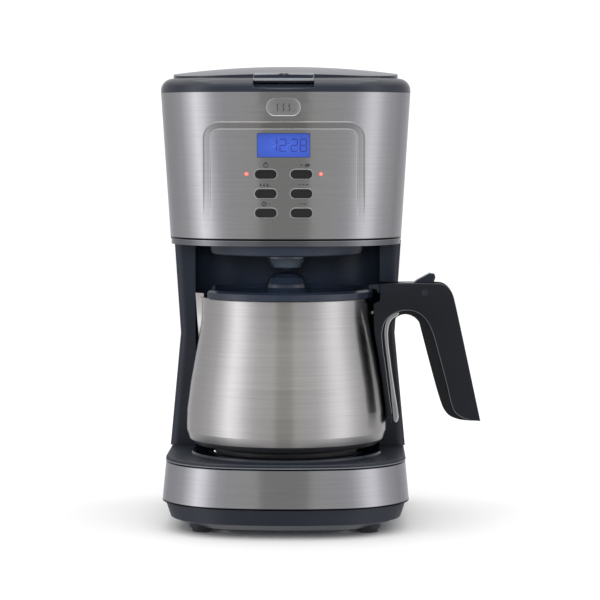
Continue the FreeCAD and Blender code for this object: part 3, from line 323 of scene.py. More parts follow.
class Recipe:
    """A material under construction."""

    def __init__(self, name, material=None):
        """Start a material, or take the given one up again to add to it."""
        if material is None:
            material = bpy.data.materials.new(name)
            material.use_nodes = True
        self.material = material
        self.tree = material.node_tree
        self.shader = self.tree.nodes["Principled BSDF"]
        self.where = self.add("TexCoord", "Object")

    def add(self, kind, out, feeds=None, **settings):
        return add_node(self.tree, kind, out, feeds, **settings)

    def put(self, **values):
        """Constants or outputs, straight on the shader's sockets."""
        for key, setting in values.items():
            socket = self.shader.inputs[key.replace("_", " ")]
            if isinstance(setting, bpy.types.NodeSocket):
                self.tree.links.new(setting, socket)
            else:
                socket.default_value = setting

    def stretched(self, scale=EVEN, turn=(0.0, 0.0, 0.0), centre=(0.0, 0.0, 0.0)):
        """Where a point lies on the machine, stretched, turned and moved."""
        feeds = {"Vector": self.where, "Location": centre, "Rotation": turn, "Scale": scale}
        return self.add("Mapping", "Vector", feeds)

    def noise(self, scale, stretch=EVEN, detail=3.0, roughness=0.5):
        feeds = {"Vector": self.stretched(stretch), "Scale": scale, "Detail": detail, "Roughness": roughness}
        return self.add("TexNoise", "Fac", feeds)

    def between(self, fac, low, high, start=0.3, stop=0.7, **settings):
        """From low to high while fac goes from start to stop."""
        feeds = {"Value": fac, "From Min": start, "From Max": stop, "To Min": low, "To Max": high}
        return self.add("MapRange", "Result", feeds, **settings)

    def ramp(self, fac, *stops):
        return add_ramp(self.tree, fac, stops)

    def maths(self, operation, *given):
        return self.add("Math", "Value", dict(enumerate(given)), operation=operation)

    def bump(self, height, depth, under=None):
        feeds = {"Height": height, "Strength": 1.0, "Distance": depth}
        if under is not None:
            feeds["Normal"] = under
        return self.add("Bump", "Normal", feeds)

    def place(self):
        """Where a point lies on the machine, as X, Y and Z apart."""
        return self.add("SeparateXYZ", "X", {"Vector": self.where}).node.outputs

    def so_far(self, key):
        """What goes into one of the shader's sockets so far."""
        return self.shader.inputs[key].links[0].from_socket

    def over(self, amount, shade_of, blend="MIX"):
        """The colour so far with a shade laid over it."""
        feeds = {MIX_AMOUNT: amount, MIX_UNDER: self.so_far("Base Color"), MIX_OVER: (*shade_of, 1.0)}
        return self.add("Mix", MIX_RESULT, feeds, data_type="RGBA", blend_type=blend)

    def finish(self, base, roughness, normal):
        """Put the last outputs on the shader, and hand the material over."""
        self.put(Base_Color=base, Roughness=roughness, Normal=normal)
        return self.material


def tone(base, factor):
    """A lighter or darker tone of a colour."""
    return tuple(min(1.0, channel * factor) for channel in base)


def brushed(name, base, roughness, stretch, anisotropy, spread=0.015, groove=0.000004):
    """Sheet metal with brush lines: stretch is small along the lines and large across them."""
    recipe = Recipe(name)
    lines = recipe.noise(1.0, stretch, detail=4.0, roughness=0.65)
    clouds = recipe.noise(18.0, detail=2.0)
    direction = recipe.add("Tangent", "Tangent", direction_type="RADIAL", axis="Z")
    recipe.put(Metallic=1.0, Anisotropic=anisotropy, Anisotropic_Rotation=0.25, IOR=2.4, Tangent=direction)
    mixed = recipe.maths("MULTIPLY_ADD", lines, 0.8, recipe.maths("MULTIPLY", clouds, 0.2))
    base_colour = recipe.ramp(mixed, (0.30, tone(base, 0.94)), (0.52, base), (0.74, tone(base, 1.06)))
    rough = recipe.between(mixed, roughness - spread, roughness + spread)
    return recipe.finish(base_colour, rough, recipe.bump(lines, groove))


def pressed_steel(name, base, roughness, stretch, anisotropy):
    """The brushed steel of the front, with the arch pressed round the screen and keys, and the pressed band
    painted darker as painted shade.
    """
    size = sizes()
    recipe = Recipe(name, brushed(name, base, roughness, stretch, anisotropy))
    half_band = size.relief_band / 2
    corner = size.relief_corner - half_band
    place = recipe.place()
    width = size.relief_outer - size.relief_corner
    side = recipe.maths("SUBTRACT", recipe.maths("ABSOLUTE", place["X"]), width)
    over = recipe.maths("SUBTRACT", place["Z"], size.relief_top - size.relief_corner)
    squares = [recipe.maths("POWER", recipe.maths("MAXIMUM", part, 0.0), 2.0) for part in (side, over)]
    round_off = recipe.maths("SQRT", recipe.maths("ADD", *squares))
    inside = recipe.maths("MINIMUM", recipe.maths("MAXIMUM", side, over), 0.0)
    off = recipe.maths("SUBTRACT", recipe.maths("ADD", round_off, inside), corner)
    soft = {"interpolation_type": "SMOOTHSTEP"}
    band = recipe.between(recipe.maths("ABSOLUTE", off), 1.0, 0.0, half_band * 0.5, half_band, **soft)
    rise = recipe.between(place["Z"], 0.0, 1.0, size.relief_fade_low, size.relief_fade_high, **soft)
    depth = recipe.maths("MULTIPLY", band, rise)
    pressed = recipe.bump(depth, -size.relief_height, under=recipe.so_far("Normal"))
    # Painted shade: the pressed band's colour is darkened, where the real band only looks darker by the light it
    # reflects.
    shaded = recipe.over(recipe.maths("MULTIPLY", depth, 0.9), (0.74, 0.72, 0.70), "MULTIPLY")
    recipe.put(Base_Color=shaded, Normal=pressed)
    return recipe.material


# Width of a dark line of painted shadow in the gap between two parts.
GAP_SHADOW_WIDE = 1.4 * MM


def add_gap_shadow(material, node, height):
    """Paint a dark line round a sheet, at a height above the sheet's foot. It marks the real gap next to the
    sheet, and its darkness is painted shadow in that gap.
    """
    recipe = Recipe(material.name, material)
    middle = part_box(node)[0].z + height + GAP_SHADOW_WIDE / 2
    away = recipe.maths("ABSOLUTE", recipe.maths("SUBTRACT", recipe.place()["Z"], middle))
    line = recipe.between(away, 1.0, 0.0, GAP_SHADOW_WIDE * 0.42, GAP_SHADOW_WIDE * 0.62)
    # Painted shadow: near-black laid over the sheet along the line.
    recipe.put(Base_Color=recipe.over(line, (0.012, 0.014, 0.020)))


def plain_metal(name, base, roughness, scale=240.0, groove=0.00001):
    """Turned, cast or polished metal with fine handling marks."""
    recipe = Recipe(name)
    grain = recipe.noise(scale, detail=5.0, roughness=0.6)
    smears = recipe.noise(26.0, (1.0, 1.0, 2.5), detail=2.0)
    recipe.put(Metallic=1.0, IOR=2.4)
    base_colour = recipe.ramp(smears, (0.30, tone(base, 0.86)), (0.70, base))
    rough = recipe.between(smears, roughness * 0.8, min(1.0, roughness * 1.25))
    return recipe.finish(base_colour, rough, recipe.bump(grain, groove))


def moulded(name, base, roughness, grain, depth, coat=0.0, level=0.5):
    """Injection moulded plastic: a spark-eroded grain, slow colour drift and faint wipe marks."""
    recipe = Recipe(name)
    texture = recipe.noise(grain, detail=2.0)
    wave = recipe.noise(55.0, detail=1.0)
    wipes = recipe.noise(9.0, (1.0, 1.0, 3.0), detail=4.0, roughness=0.6)
    recipe.put(Metallic=0.0, IOR=1.5, Coat_Weight=coat, Coat_Roughness=0.06, Specular_IOR_Level=level)
    base_colour = recipe.ramp(wipes, (0.30, tone(base, 0.86)), (0.50, base), (0.72, tone(base, 1.18)))
    rough = recipe.between(wipes, roughness * 0.88, min(1.0, roughness * 1.14))
    normal = recipe.bump(texture, depth, under=recipe.bump(wave, depth * 2.0))
    return recipe.finish(base_colour, rough, normal)


def rubber(name, base, roughness):
    """Soft rubber with a dull, dusty skin."""
    recipe = Recipe(name)
    grain = recipe.noise(900.0, detail=3.0, roughness=0.7)
    dust = recipe.noise(70.0, detail=4.0, roughness=0.7)
    recipe.put(Metallic=0.0, IOR=1.5, Sheen_Weight=0.12, Sheen_Roughness=0.5)
    base_colour = recipe.ramp(dust, (0.35, base), (0.70, tone(base, 1.7)))
    rough = recipe.between(dust, roughness - 0.08, roughness + 0.06)
    return recipe.finish(base_colour, rough, recipe.bump(grain, 0.00003))


def plate_coating(name):
    """Dark non-stick coat over a turned plate: faint rings round the plate's centre."""
    centre, _ = span("warming_plate")
    recipe = Recipe(name)
    place = recipe.stretched(centre=(-centre.x, -centre.y, 0.0))
    feeds = {"Vector": place, "Scale": 160.0, "Distortion": 0.4, "Detail": 1.0}
    rings = recipe.add("TexWave", "Fac", feeds, wave_type="RINGS", rings_direction="Z")
    speckle = recipe.noise(1600.0, detail=3.0)
    wear = recipe.noise(30.0, detail=4.0)
    recipe.put(Metallic=0.0, IOR=1.6, Coat_Weight=0.15, Coat_Roughness=0.25)
    base_colour = recipe.ramp(wear, (0.35, (0.022, 0.023, 0.025)), (0.70, (0.040, 0.040, 0.042)))
    normal = recipe.bump(speckle, 0.00001, under=recipe.bump(rings, 0.00003))
    return recipe.finish(base_colour, recipe.between(wear, 0.34, 0.48), normal)


def lit_screen(name, glow):
    """A backlit screen: brighter in the middle, with the faint grid of its cells."""
    centre, whole = span("lcd_glass")
    half = whole / 2
    recipe = Recipe(name)
    place = recipe.stretched(
        (1.0 / half.x, 1.0, 1.0 / half.z), centre=(-centre.x / half.x, 0.0, -centre.z / half.z)
    )
    flat = recipe.add("VectorMath", "Vector", {0: place, 1: (0.55, 0.0, 0.62)}, operation="MULTIPLY")
    heart = recipe.add("TexGradient", "Fac", {"Vector": flat}, gradient_type="SPHERICAL")
    cells = recipe.add("TexChecker", "Fac", {"Vector": recipe.stretched((2600.0, 1.0, 2600.0)), "Scale": 1.0})
    light = recipe.ramp(heart, (0.0, tone(glow, 0.72)), (0.55, glow), (1.0, tone(glow, 1.12)))
    recipe.put(Emission_Color=light, Emission_Strength=0.50, IOR=1.5, Coat_Weight=0.4, Coat_Roughness=0.05)
    dark = recipe.ramp(heart, (0.0, tone(glow, 0.20)), (1.0, tone(glow, 0.34)))
    rough = recipe.between(cells, 0.16, 0.22, 0.0, 1.0)
    return recipe.finish(dark, rough, recipe.bump(cells, 0.000004))


def lamp_lens(name, glow):
    """A lit lamp lens with a paler heart."""
    recipe = Recipe(name)
    grain = recipe.noise(2200.0, detail=2.0)
    rim = recipe.add("LayerWeight", "Facing", {"Blend": 0.45})
    light = recipe.ramp(rim, (0.005, (1.0, 0.42, 0.36)), (0.05, (0.95, 0.10, 0.08)), (0.55, glow))
    recipe.put(Emission_Color=light, Emission_Strength=1.0, IOR=1.5)
    base_colour = recipe.ramp(grain, (0.3, tone(glow, 0.5)), (0.7, tone(glow, 0.7)))
    return recipe.finish(base_colour, recipe.between(grain, 0.18, 0.26), recipe.bump(grain, 0.00001))


def woven_gold(name):
    """Gilded wire cloth, with its openings see-through."""
    recipe = Recipe(name)
    feeds = {"Vector": recipe.stretched(), "Scale": 330.0}
    top = recipe.maths("MAXIMUM", *(
        recipe.add("TexWave", "Fac", feeds, wave_type="BANDS", bands_direction=across) for across in ("X", "Z")
    ))
    stain = recipe.noise(40.0, detail=4.0)
    base_colour = recipe.ramp(stain, (0.35, (0.62, 0.42, 0.16)), (0.70, (0.80, 0.60, 0.28)))
    recipe.put(Metallic=1.0, IOR=2.0, Alpha=recipe.between(top, 0.25, 1.0, 0.45, 0.6))
    return recipe.finish(base_colour, recipe.between(stain, 0.28, 0.42), recipe.bump(top, 0.00012))


def clear_plastic(name, tint, roughness):
    """Clear, faintly smoky moulded plastic."""
    recipe = Recipe(name)
    flow = recipe.noise(14.0, (1.0, 1.0, 0.4), detail=3.0)
    recipe.put(IOR=1.49, Transmission_Weight=0.85, Metallic=0.0)
    base_colour = recipe.ramp(flow, (0.3, tone(tint, 0.92)), (0.7, tint))
    rough = recipe.between(flow, roughness, roughness * 1.8)
    return recipe.finish(base_colour, rough, recipe.bump(flow, 0.0001))


def circuit_board(name):
    """Green solder mask over copper tracks."""
    recipe = Recipe(name)
    feeds = {"Vector": recipe.stretched(turn=LAID_DOWN), "Scale": 420.0, "Mortar Size": 0.03}
    tracks = recipe.add("TexBrick", "Fac", feeds)
    recipe.put(IOR=1.5, Coat_Weight=0.3, Coat_Roughness=0.15)
    base_colour = recipe.ramp(tracks, (0.0, (0.012, 0.085, 0.035)), (1.0, (0.035, 0.19, 0.075)))
    grain = recipe.noise(700.0, detail=3.0)
    return recipe.finish(base_colour, recipe.between(grain, 0.28, 0.40), recipe.bump(tracks, 0.00003))


def ink(name, base):
    """Printed ink with a slightly broken edge and body."""
    recipe = Recipe(name)
    grain = recipe.noise(2600.0, detail=3.0)
    recipe.put(IOR=1.45)
    base_colour = recipe.ramp(grain, (0.35, base), (0.75, tone(base, 1.5)))
    return recipe.finish(base_colour, recipe.between(grain, 0.42, 0.58), recipe.bump(grain, 0.000006))


# How far the brush lines are drawn out: little along them, much across them.
STEEL_BRUSH = (24.0, 24.0, 1300.0)
CARAFE_BRUSH = (14.0, 14.0, 1100.0)
TRIM_BRUSH = (12.0, 12.0, 900.0)
# Places of the dark lines of painted shadow in the gaps: above the foot of the front sheet, and below the top of
# the base's sheet.
FRONT_GAP_SHADOW_UP, BASE_GAP_SHADOW_DOWN = 0.3 * MM, 1.2 * MM
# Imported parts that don't take the finish of their own slot.
OWN_FINISHES = {
    "housing_wrap": "front_steel", "base_wrap": "base_steel", "valve_collar": "collar_smoke",
    "housing_trim": "trim_dusk",
}
FINISHES = {}


def make_finish(kind, name, *values, **more):
    FINISHES[name] = kind(name, *values, **more)


def make_metals(tints):
    """A brushed metal is (colour, roughness, brush, anisotropy), then how far roughness and grooves go."""
    steel = tints.steel[:]
    make_finish(brushed, "brushed_steel", steel, 0.18, STEEL_BRUSH, 0.88)
    make_finish(pressed_steel, "front_steel", steel, 0.18, STEEL_BRUSH, 0.88)
    # Painted shadow in the gap at the foot of the front sheet.
    add_gap_shadow(FINISHES["front_steel"], "housing_wrap", FRONT_GAP_SHADOW_UP)
    make_finish(brushed, "carafe_steel", tints.carafe_steel[:], 0.25, CARAFE_BRUSH, 0.84, 0.008, 0.0000008)
    make_finish(brushed, "silver_trim", (0.66, 0.66, 0.67), 0.22, TRIM_BRUSH, 0.35, 0.02)
    # Painted shade: a darker copy of the silver trim, for the trim ring at the foot of the front.
    make_finish(brushed, "trim_dusk", (0.27, 0.28, 0.30), 0.16, TRIM_BRUSH, 0.35)
    make_finish(brushed, "base_steel", tints.base_steel[:], 0.18, STEEL_BRUSH, 0.88)
    # Painted shadow in the gaps at the foot and near the top of the base's steel band.
    for height in (0.0, span("base_wrap")[1].z - BASE_GAP_SHADOW_DOWN):
        add_gap_shadow(FINISHES["base_steel"], "base_wrap", height)
    make_finish(plain_metal, "bright_metal", (0.78, 0.78, 0.79), 0.12)
    make_finish(plain_metal, "screw_steel", (0.52, 0.52, 0.53), 0.32, 900.0)
    make_finish(plain_metal, "cast_alloy", (0.50, 0.50, 0.51), 0.48, 420.0, 0.00005)


def make_plastics(tints):
    """A moulded plastic is (colour, roughness, how fine its grain is, how deep its grain is)."""
    gloss, satin = tints.gloss_black[:], tints.satin_black[:]
    make_finish(moulded, "gloss_black", gloss, 0.16, 900.0, 0.000004, coat=0.35)
    make_finish(moulded, "satin_black", satin, 0.42, 1500.0, 0.000016)
    make_finish(moulded, "dark_liner", (0.020, 0.022, 0.026), 0.52, 1100.0, 0.00002)
    # Painted shade: a darker, duller copy of the handle's black for the handle's core, the finger side between
    # the raised cheeks.
    make_finish(moulded, "core_black", (0.006, 0.007, 0.009), 0.46, 1300.0, 0.00002, level=0.35)
    make_finish(moulded, "handle_black", (0.0065, 0.009, 0.0145), 0.40, 1500.0, 0.000016, level=0.42)
    # Painted highlight: a lighter, glossier copy of the gloss black for the valve collar, standing in for the
    # highlights on its glossy funnel.
    make_finish(moulded, "collar_smoke", (0.045, 0.055, 0.068), 0.14, 900.0, 0.000004, coat=0.6)
    # Painted highlight: grey for the beads along the deck's lip and the handle's cheeks, standing in for the
    # light lines on those edges.
    make_finish(moulded, "seam_grey", (0.16, 0.17, 0.19), 0.30, 1900.0, 0.000006)
    # Painted highlight: a grey for the lid's black finger lip, standing in for the highlight on its sloped top.
    make_finish(moulded, "lip_grey", (0.19, 0.205, 0.225), 0.22, 1300.0, 0.000006, coat=0.5)
    make_finish(moulded, "button_dark", (0.008, 0.0075, 0.008), 0.38, 1900.0, 0.000008, level=0.25)
    make_finish(rubber, "rubber_black", (0.016, 0.016, 0.017), 0.78)
    make_finish(rubber, "silicone", (0.30, 0.30, 0.29), 0.60)
    make_finish(clear_plastic, "clear_tank", (0.62, 0.66, 0.70), 0.12)


class COFFEE_OT_finishes(bpy.types.Operator):
    """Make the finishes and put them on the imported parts"""

    bl_idname = "coffee_maker.finishes"
    bl_label = "Finishes"

    def execute(self, context):
        tints = colours()
        make_metals(tints)
        make_plastics(tints)
        make_finish(plate_coating, "plate_coating")
        make_finish(woven_gold, "mesh_gold")
        make_finish(circuit_board, "board_green")
        make_finish(lit_screen, "display_glass", tints.screen[:])
        make_finish(lamp_lens, "lamp_red", tints.lamp[:])
        make_finish(ink, "digits", tints.digits[:])
        make_finish(ink, "sign_ink", tints.print_ink[:])
        for row in frame["record"]["subparts"]:
            materials = frame["nodes"][row["node"]].data.materials
            if not materials:
                materials.append(None)
            for number in range(len(materials)):
                materials[number] = FINISHES[OWN_FINISHES.get(row["node"], row["material_slot"])]
        return {"FINISHED"}


# ---- the front's surface

FRONT_LOW, FRONT_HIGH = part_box("housing_wrap")
FRONT_FOOT = -108 * MM  # Y of the middle of the front at its foot
FRONT_BOW = 205 * MM    # radius of the front's bow, seen from above


def front_at(across, height):
    """Where the bowed steel front stands at a point; it leans outwards a little."""
    lean = (FRONT_LOW.y - FRONT_FOOT) / (FRONT_HIGH.z - FRONT_LOW.z)
    sagitta = FRONT_BOW - math.sqrt(FRONT_BOW ** 2 - across ** 2)
    return FRONT_FOOT + lean * (height - FRONT_LOW.z) + sagitta


# ---- keys, screen, lamps

PILL_SIDES = 44
RING_EXTRA, RING_DEEP = 1.9 * MM, 1.2 * MM  # how much wider than its key a ring is, and its depth
RING_LEAD = 4 * MM  # a ring sits where the front stands this much nearer the middle
SEGMENTS = {"1": "bc", "2": "abged", "8": "abcdefg"}
SEGMENT_GAP = 0.2 * MM
TIME = (("1", -9.2 * MM), ("2", -2.6 * MM), ("2", 5.4 * MM), ("8", 11.8 * MM))  # digits and their left edges
DOT_ACROSS, DOT_HALF = 3.5 * MM, 0.4 * MM


def pill(name, centre, size):
    """A pill that lies level in the front's plane; size is its width, depth and height."""
    wide, deep, tall = size
    piece = round_bar(name, centre, tall / 2, deep, PILL_SIDES)
    turned(piece, math.pi / PILL_SIDES, centre)
    for side in (-1, 1):
        pick(piece, lambda point: (point.co.x - centre[0]) * side > 0, "VERT")
        bpy.ops.transform.translate(value=(side * (wide - tall) / 2, 0.0, 0.0))
    return hold(piece)


class COFFEE_OT_key_rings(bpy.types.Operator):
    """Make the thin bright ring round each key"""

    bl_idname = "coffee_maker.key_rings"
    bl_label = "Key rings"

    def execute(self, context):
        rings = []
        for node in KEYS:
            centre, key = span(node)
            centre.y = front_at(abs(centre.x) - RING_LEAD, centre.z)
            hoop = pill("ring", centre, (key.x + RING_EXTRA, RING_DEEP, key.z + RING_EXTRA))
            hollow(hoop, sizes().ring_wide)
            rings.append(soften(hoop, 0.18 * MM, angle=50.0))
        fit(weld("key_rings", rings), "button_bezels", "bright_metal", smooth=45.0)
        return {"FINISHED"}


class COFFEE_OT_keys(bpy.types.Operator):
    """Make the six rubbery keys with a crowned edge and a shallow dish"""

    bl_idname = "coffee_maker.keys"
    bl_label = "Keys"

    def execute(self, context):
        size = sizes()
        for node in KEYS:
            key = pill("key_" + node.split("_")[1], *span(node))
            pick(key, to_front)
            bpy.ops.mesh.bevel(offset=size.key_crown, segments=4, profile=0.6, affect="EDGES")
            pick(key, lambda face: face.normal.y < -0.99)
            step_in(0.5 * MM, size.key_dish)
            step_in(0.4 * MM, size.key_dish)
            fit(key, node, "button_dark", smooth=50.0)
        return {"FINISHED"}


def digit_segments(digit, left, base, front):
    """One seven-segment digit, made of bars with pointed ends."""
    size = sizes()
    wide, tall, thick = size.digit_wide, size.digit_tall, size.segment_wide
    half, middle, right = tall / 2, left + wide / 2, left + wide
    # Where the middle of each segment lies, across and up, and whether it is level.
    spots = {
        "a": (middle, base + tall, True), "g": (middle, base + half, True), "d": (middle, base, True),
        "f": (left, base + half * 1.5, False), "b": (right, base + half * 1.5, False),
        "e": (left, base + half / 2, False), "c": (right, base + half / 2, False),
    }
    bars = []
    for letter in SEGMENTS[digit]:
        across, up, level = spots[letter]
        reach = ((wide if level else half) - SEGMENT_GAP) / 2
        beside, above = (reach, thick / 2) if level else (thick / 2, reach)
        bar = block_about("segment", (across, front + PRINT / 2, up), (beside, PRINT / 2, above))
        bars.append(cut_corners(bar, thick * 0.48, 1))
    return bars


class COFFEE_OT_screen(bpy.types.Operator):
    """Make the screen's lit window and the time it shows"""

    bl_idname = "coffee_maker.screen"
    bl_label = "Screen"

    def execute(self, context):
        tall = sizes().digit_tall
        low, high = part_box("lcd_glass")
        window = block("screen_window", low, high)
        pick(window, to_front)
        step_in(0.6 * MM, 0.2 * MM)
        soften(window, 0.2 * MM)
        fit(window, "lcd_glass", "display_glass", smooth=30.0)
        front = low.y + 0.1 * MM
        base = (low.z + high.z) / 2 - tall / 2
        bars = []
        for digit, left in TIME:
            bars += digit_segments(digit, left, base, front)
        for part_way in (0.34, 0.66):
            middle = (DOT_ACROSS, front + PRINT / 2, base + tall * part_way)
            bars.append(soften(block_about("dot", middle, (DOT_HALF, PRINT / 2, DOT_HALF)), 0.1 * MM))
        fit(weld("screen_digits", bars), "lcd_glass", "digits", stands_for=False)
        return {"FINISHED"}


class COFFEE_OT_lamps(bpy.types.Operator):
    """Make the two domed indicator lamps"""

    bl_idname = "coffee_maker.lamps"
    bl_label = "Lamps"

    def execute(self, context):
        low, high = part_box("indicator_lamps")
        radius = (high.z - low.z) / 2
        lenses = []
        for side in (-1, 1):
            centre = (side * (high.x - radius), (low.y + high.y) / 2, (low.z + high.z) / 2)
            lens = round_bar("lamp", centre, radius, high.y - low.y, sides=32)
            pick(lens, to_front)
            step_in(radius * 0.35, -0.3 * MM)
            step_in(radius * 0.3, -0.12 * MM)
            lenses.append(soften(lens, 0.1 * MM, angle=25.0))
        fit(weld("lamp_lenses", lenses), "indicator_lamps", "lamp_red", smooth=60.0)
        return {"FINISHED"}


# ---- signs, badge

SIGN_LIFT = 3.6 * MM  # how far the signs stand above the keys
WISP_TALL, WISP_LINE, WISP_APART = 2.1 * MM, 0.55 * MM, 4.2 * MM
WISP_LEAN = math.radians(62)


def ring(name, centre, radius, line, sides=36):
    """A thin flat ring in the front's plane."""
    return hollow(round_bar(name, centre, radius, PRINT, sides), line)


def stroke(name, centre, long, line, angle=0.0):
    """A short printed line, turned in the front's plane."""
    piece = block_about(name, centre, (long / 2, PRINT / 2, line / 2))
    cut_corners(piece, line * 0.45, 2)
    return turned(piece, angle, centre) if angle else piece


def dashes(x, y, z, count, apart, long, line):
    """A level row of short lines."""
    return [stroke("dash", (x + (n - (count - 1) / 2) * apart, y, z), long, line) for n in range(count)]


def power_sign(x, y, z, tall, line):
    hoop = ring("hoop", (x, y, z), tall / 2, line)
    return [hoop, stroke("bar", (x, y, z + tall * 0.42), tall * 0.55, line, UPRIGHT)]


def clock_sign(x, y, z, tall, line):
    return [
        ring("dial", (x, y, z), tall / 2, line),
        stroke("hand", (x, y, z + tall * 0.14), tall * 0.32, line * 0.8, UPRIGHT),
        stroke("hand", (x + tall * 0.12, y, z), tall * 0.28, line * 0.8),
    ]


def cup_sign(x, y, z, tall, line):
    cup = block_about("cup", (x, y, z - tall * 0.05), (tall * 0.42, PRINT / 2, tall * 0.35))
    soften(cup, tall * 0.12, angle=80.0)
    return [cup, ring("ear", (x + tall * 0.55, y, z + tall * 0.02), tall * 0.24, line * 0.8, 20)]


def drop_sign(x, y, z, tall):
    drop = round_bar("drop", (x, y, z - tall * 0.1), tall * 0.32, PRINT, 24)
    pick(drop, lambda point: point.co.z > z + tall * 0.2, "VERT")
    bpy.ops.transform.translate(value=(0.0, 0.0, tall * 0.3))
    return hold(drop)


def sign_over(node, x, y, z):
    """The printed sign over a key, from lines and rings about the sign's middle."""
    tall, line = sizes().mark_tall, sizes().mark_line
    if node == "button_power":
        return power_sign(x, y, z, tall, line)
    if node == "button_program":
        clock = clock_sign(x - 4.0 * MM, y, z, tall * 0.8, line)
        return clock + dashes(x, y, z, 1, 0.0, 2.2 * MM, line) + cup_sign(x + 3.8 * MM, y, z, tall * 0.85, line)
    if node == "button_cups":
        return [
            drop_sign(x + (n - 1.5) * 2.5 * MM, y, z - 0.4 * MM, tall * (0.6 + 0.1 * n)) for n in range(4)
        ]
    if node == "button_clock":
        return dashes(x, y, z, 4, 2.7 * MM, 1.8 * MM, line * 1.1)
    if node == "button_hour":
        return clock_sign(x - 1.2 * MM, y, z, tall, line) + [
            stroke("plus", (x + 2.6 * MM, y, z), 1.8 * MM, line),
            stroke("plus", (x + 2.6 * MM, y - 0.02 * MM, z), 1.8 * MM, line, UPRIGHT),
        ]
    return dashes(x, y, z, 3, 2.6 * MM, 1.9 * MM, line * 1.1)


class COFFEE_OT_signs(bpy.types.Operator):
    """Print the small signs over the keys"""

    bl_idname = "coffee_maker.signs"
    bl_label = "Signs"

    def execute(self, context):
        lift = span("button_power")[1].z / 2 + SIGN_LIFT
        marks = []
        for node in KEYS:
            centre, _ = span(node)
            height = centre.z + lift
            marks += sign_over(node, centre.x, front_at(centre.x, height) - PRINT / 2, height)
        fit(weld("printed_signs", marks), "housing_wrap", "sign_ink", stands_for=False)
        return {"FINISHED"}


class COFFEE_OT_badge(bpy.types.Operator):
    """Make the plain oval badge with three rising wisps of steam"""

    bl_idname = "coffee_maker.badge"
    bl_label = "Badge"

    def execute(self, context):
        centre, whole = span("badge")
        plate = pill("badge_plate", centre, whole)
        pick(plate, to_front)
        step_in(0.5 * MM)
        step_in(0.2 * MM, 0.25 * MM)
        soften(plate, 0.12 * MM, angle=50.0)
        fit(plate, "badge", "silver_trim", smooth=40.0)
        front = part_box("badge")[0].y + 0.1 * MM
        wisps = []
        for n in (-1, 0, 1):
            for step, side in enumerate((1, -1, 1)):
                spot = (n * WISP_APART, front, centre.z + (step - 1) * WISP_TALL * 0.88)
                wisps.append(stroke("wisp", spot, WISP_TALL, WISP_LINE, side * WISP_LEAN))
        fit(weld("badge_steam", wisps), "badge", "sign_ink", stands_for=False)
        return {"FINISHED"}


# ---- lid and handle

# The lid's finger lip: half its width, its heights, its reach before and behind the lid's front,
# and how far its front edge is pulled down.
LIP_HALF, LIP_FOOT, LIP_TOP = 21.6 * MM, 326.2 * MM, 332.4 * MM
LIP_BEFORE, LIP_BEHIND, LIP_SLOPE = 1.2 * MM, 7.0 * MM, 4.8 * MM
ARROW_LEAN = math.radians(14)


class COFFEE_OT_lid_lip(bpy.types.Operator):
    """Make the lid's finger lip, with its small raised arrow; the lip's grey and the arrow's silver are painted
    highlights on the black lid
    """

    bl_idname = "coffee_maker.lid_lip"
    bl_label = "Lid lip"

    def execute(self, context):
        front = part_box("top_lid")[0].y
        lip = block("lid_lip", (-LIP_HALF, front - LIP_BEFORE, LIP_FOOT), (LIP_HALF, front + LIP_BEHIND, LIP_TOP))
        pick(lip, lambda point: point.co.y < front and point.co.z > (LIP_FOOT + LIP_TOP) / 2, "VERT")
        bpy.ops.transform.translate(value=(0.0, 0.0, -LIP_SLOPE))
        soften(lip, 0.7 * MM, 3, 30.0)
        # The grey finish is a painted highlight on the black lip.
        fit(lip, "top_lid", "lip_grey", smooth=40.0, stands_for=False)
        arms = []
        for side in (-1, 1):
            middle = (side * 2.0 * MM, front + 3.0 * MM, LIP_TOP - 0.8 * MM)
            arm = soften(block_about("arm", middle, (2.2 * MM, 1.0 * MM, 0.4 * MM)), 0.2 * MM)
            arms.append(turned(arm, -side * ARROW_LEAN, middle))
        # Painted highlight: the raised arrow is black like the lid, and its silver finish stands in for the
        # highlight on its edges.
        fit(weld("lid_arrow", arms), "top_lid", "silver_trim", smooth=40.0, stands_for=False)
        return {"FINISHED"}


def drawn(name, knots, kinds, closed, fineness, **settings):
    """A mesh from a smooth curve through the knots; a knot of the kind VECTOR is a sharp corner."""
    lay_down_tools()
    curve = bpy.data.curves.new(name, "CURVE")
    for key, setting in settings.items():
        setattr(curve, key, setting)
    spline = curve.splines.new("BEZIER")
    spline.bezier_points.add(len(knots) - 1)
    spline.use_cyclic_u = closed
    spline.resolution_u = fineness
    for point, knot, kind in zip(spline.bezier_points, knots, kinds):
        point.co = knot
        point.handle_left_type = point.handle_right_type = kind
    piece = bpy.data.objects.new(name, curve)
    bpy.context.scene.collection.objects.link(piece)
    hold(piece)
    bpy.ops.object.convert(target="MESH")
    return bpy.context.object


def slab(name, outline, thick, edge):
    """An upright slab across the carafe's axis: a smooth outline in X and Z, with rounded edges.

    A point of the outline is (x, z) in millimetres, with a third value where it is a sharp corner.
    """
    piece = drawn(
        name, [(spot[0] * MM, spot[1] * MM, 0.0) for spot in outline],
        ["VECTOR" if len(spot) > 2 else "AUTO" for spot in outline], True, 8,
        dimensions="2D", fill_mode="BOTH", extrude=thick / 2 - edge, bevel_depth=edge, bevel_resolution=3,
        offset=-edge,
    )
    low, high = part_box("carafe_handle")
    piece.rotation_euler = LAID_DOWN
    piece.location = (0.0, (low.y + high.y) / 2, 0.0)
    started(name)
    pick_all(piece)
    bpy.ops.mesh.remove_doubles(threshold=0.01 * MM)
    bpy.ops.mesh.normals_make_consistent(inside=False)
    return hold(piece)


def bead(name, points, radius):
    """A thin round line through the given points."""
    return drawn(
        name, points, ["AUTO"] * len(points), False, 6,
        dimensions="3D", bevel_depth=radius, bevel_resolution=2, use_fill_caps=True,
    )


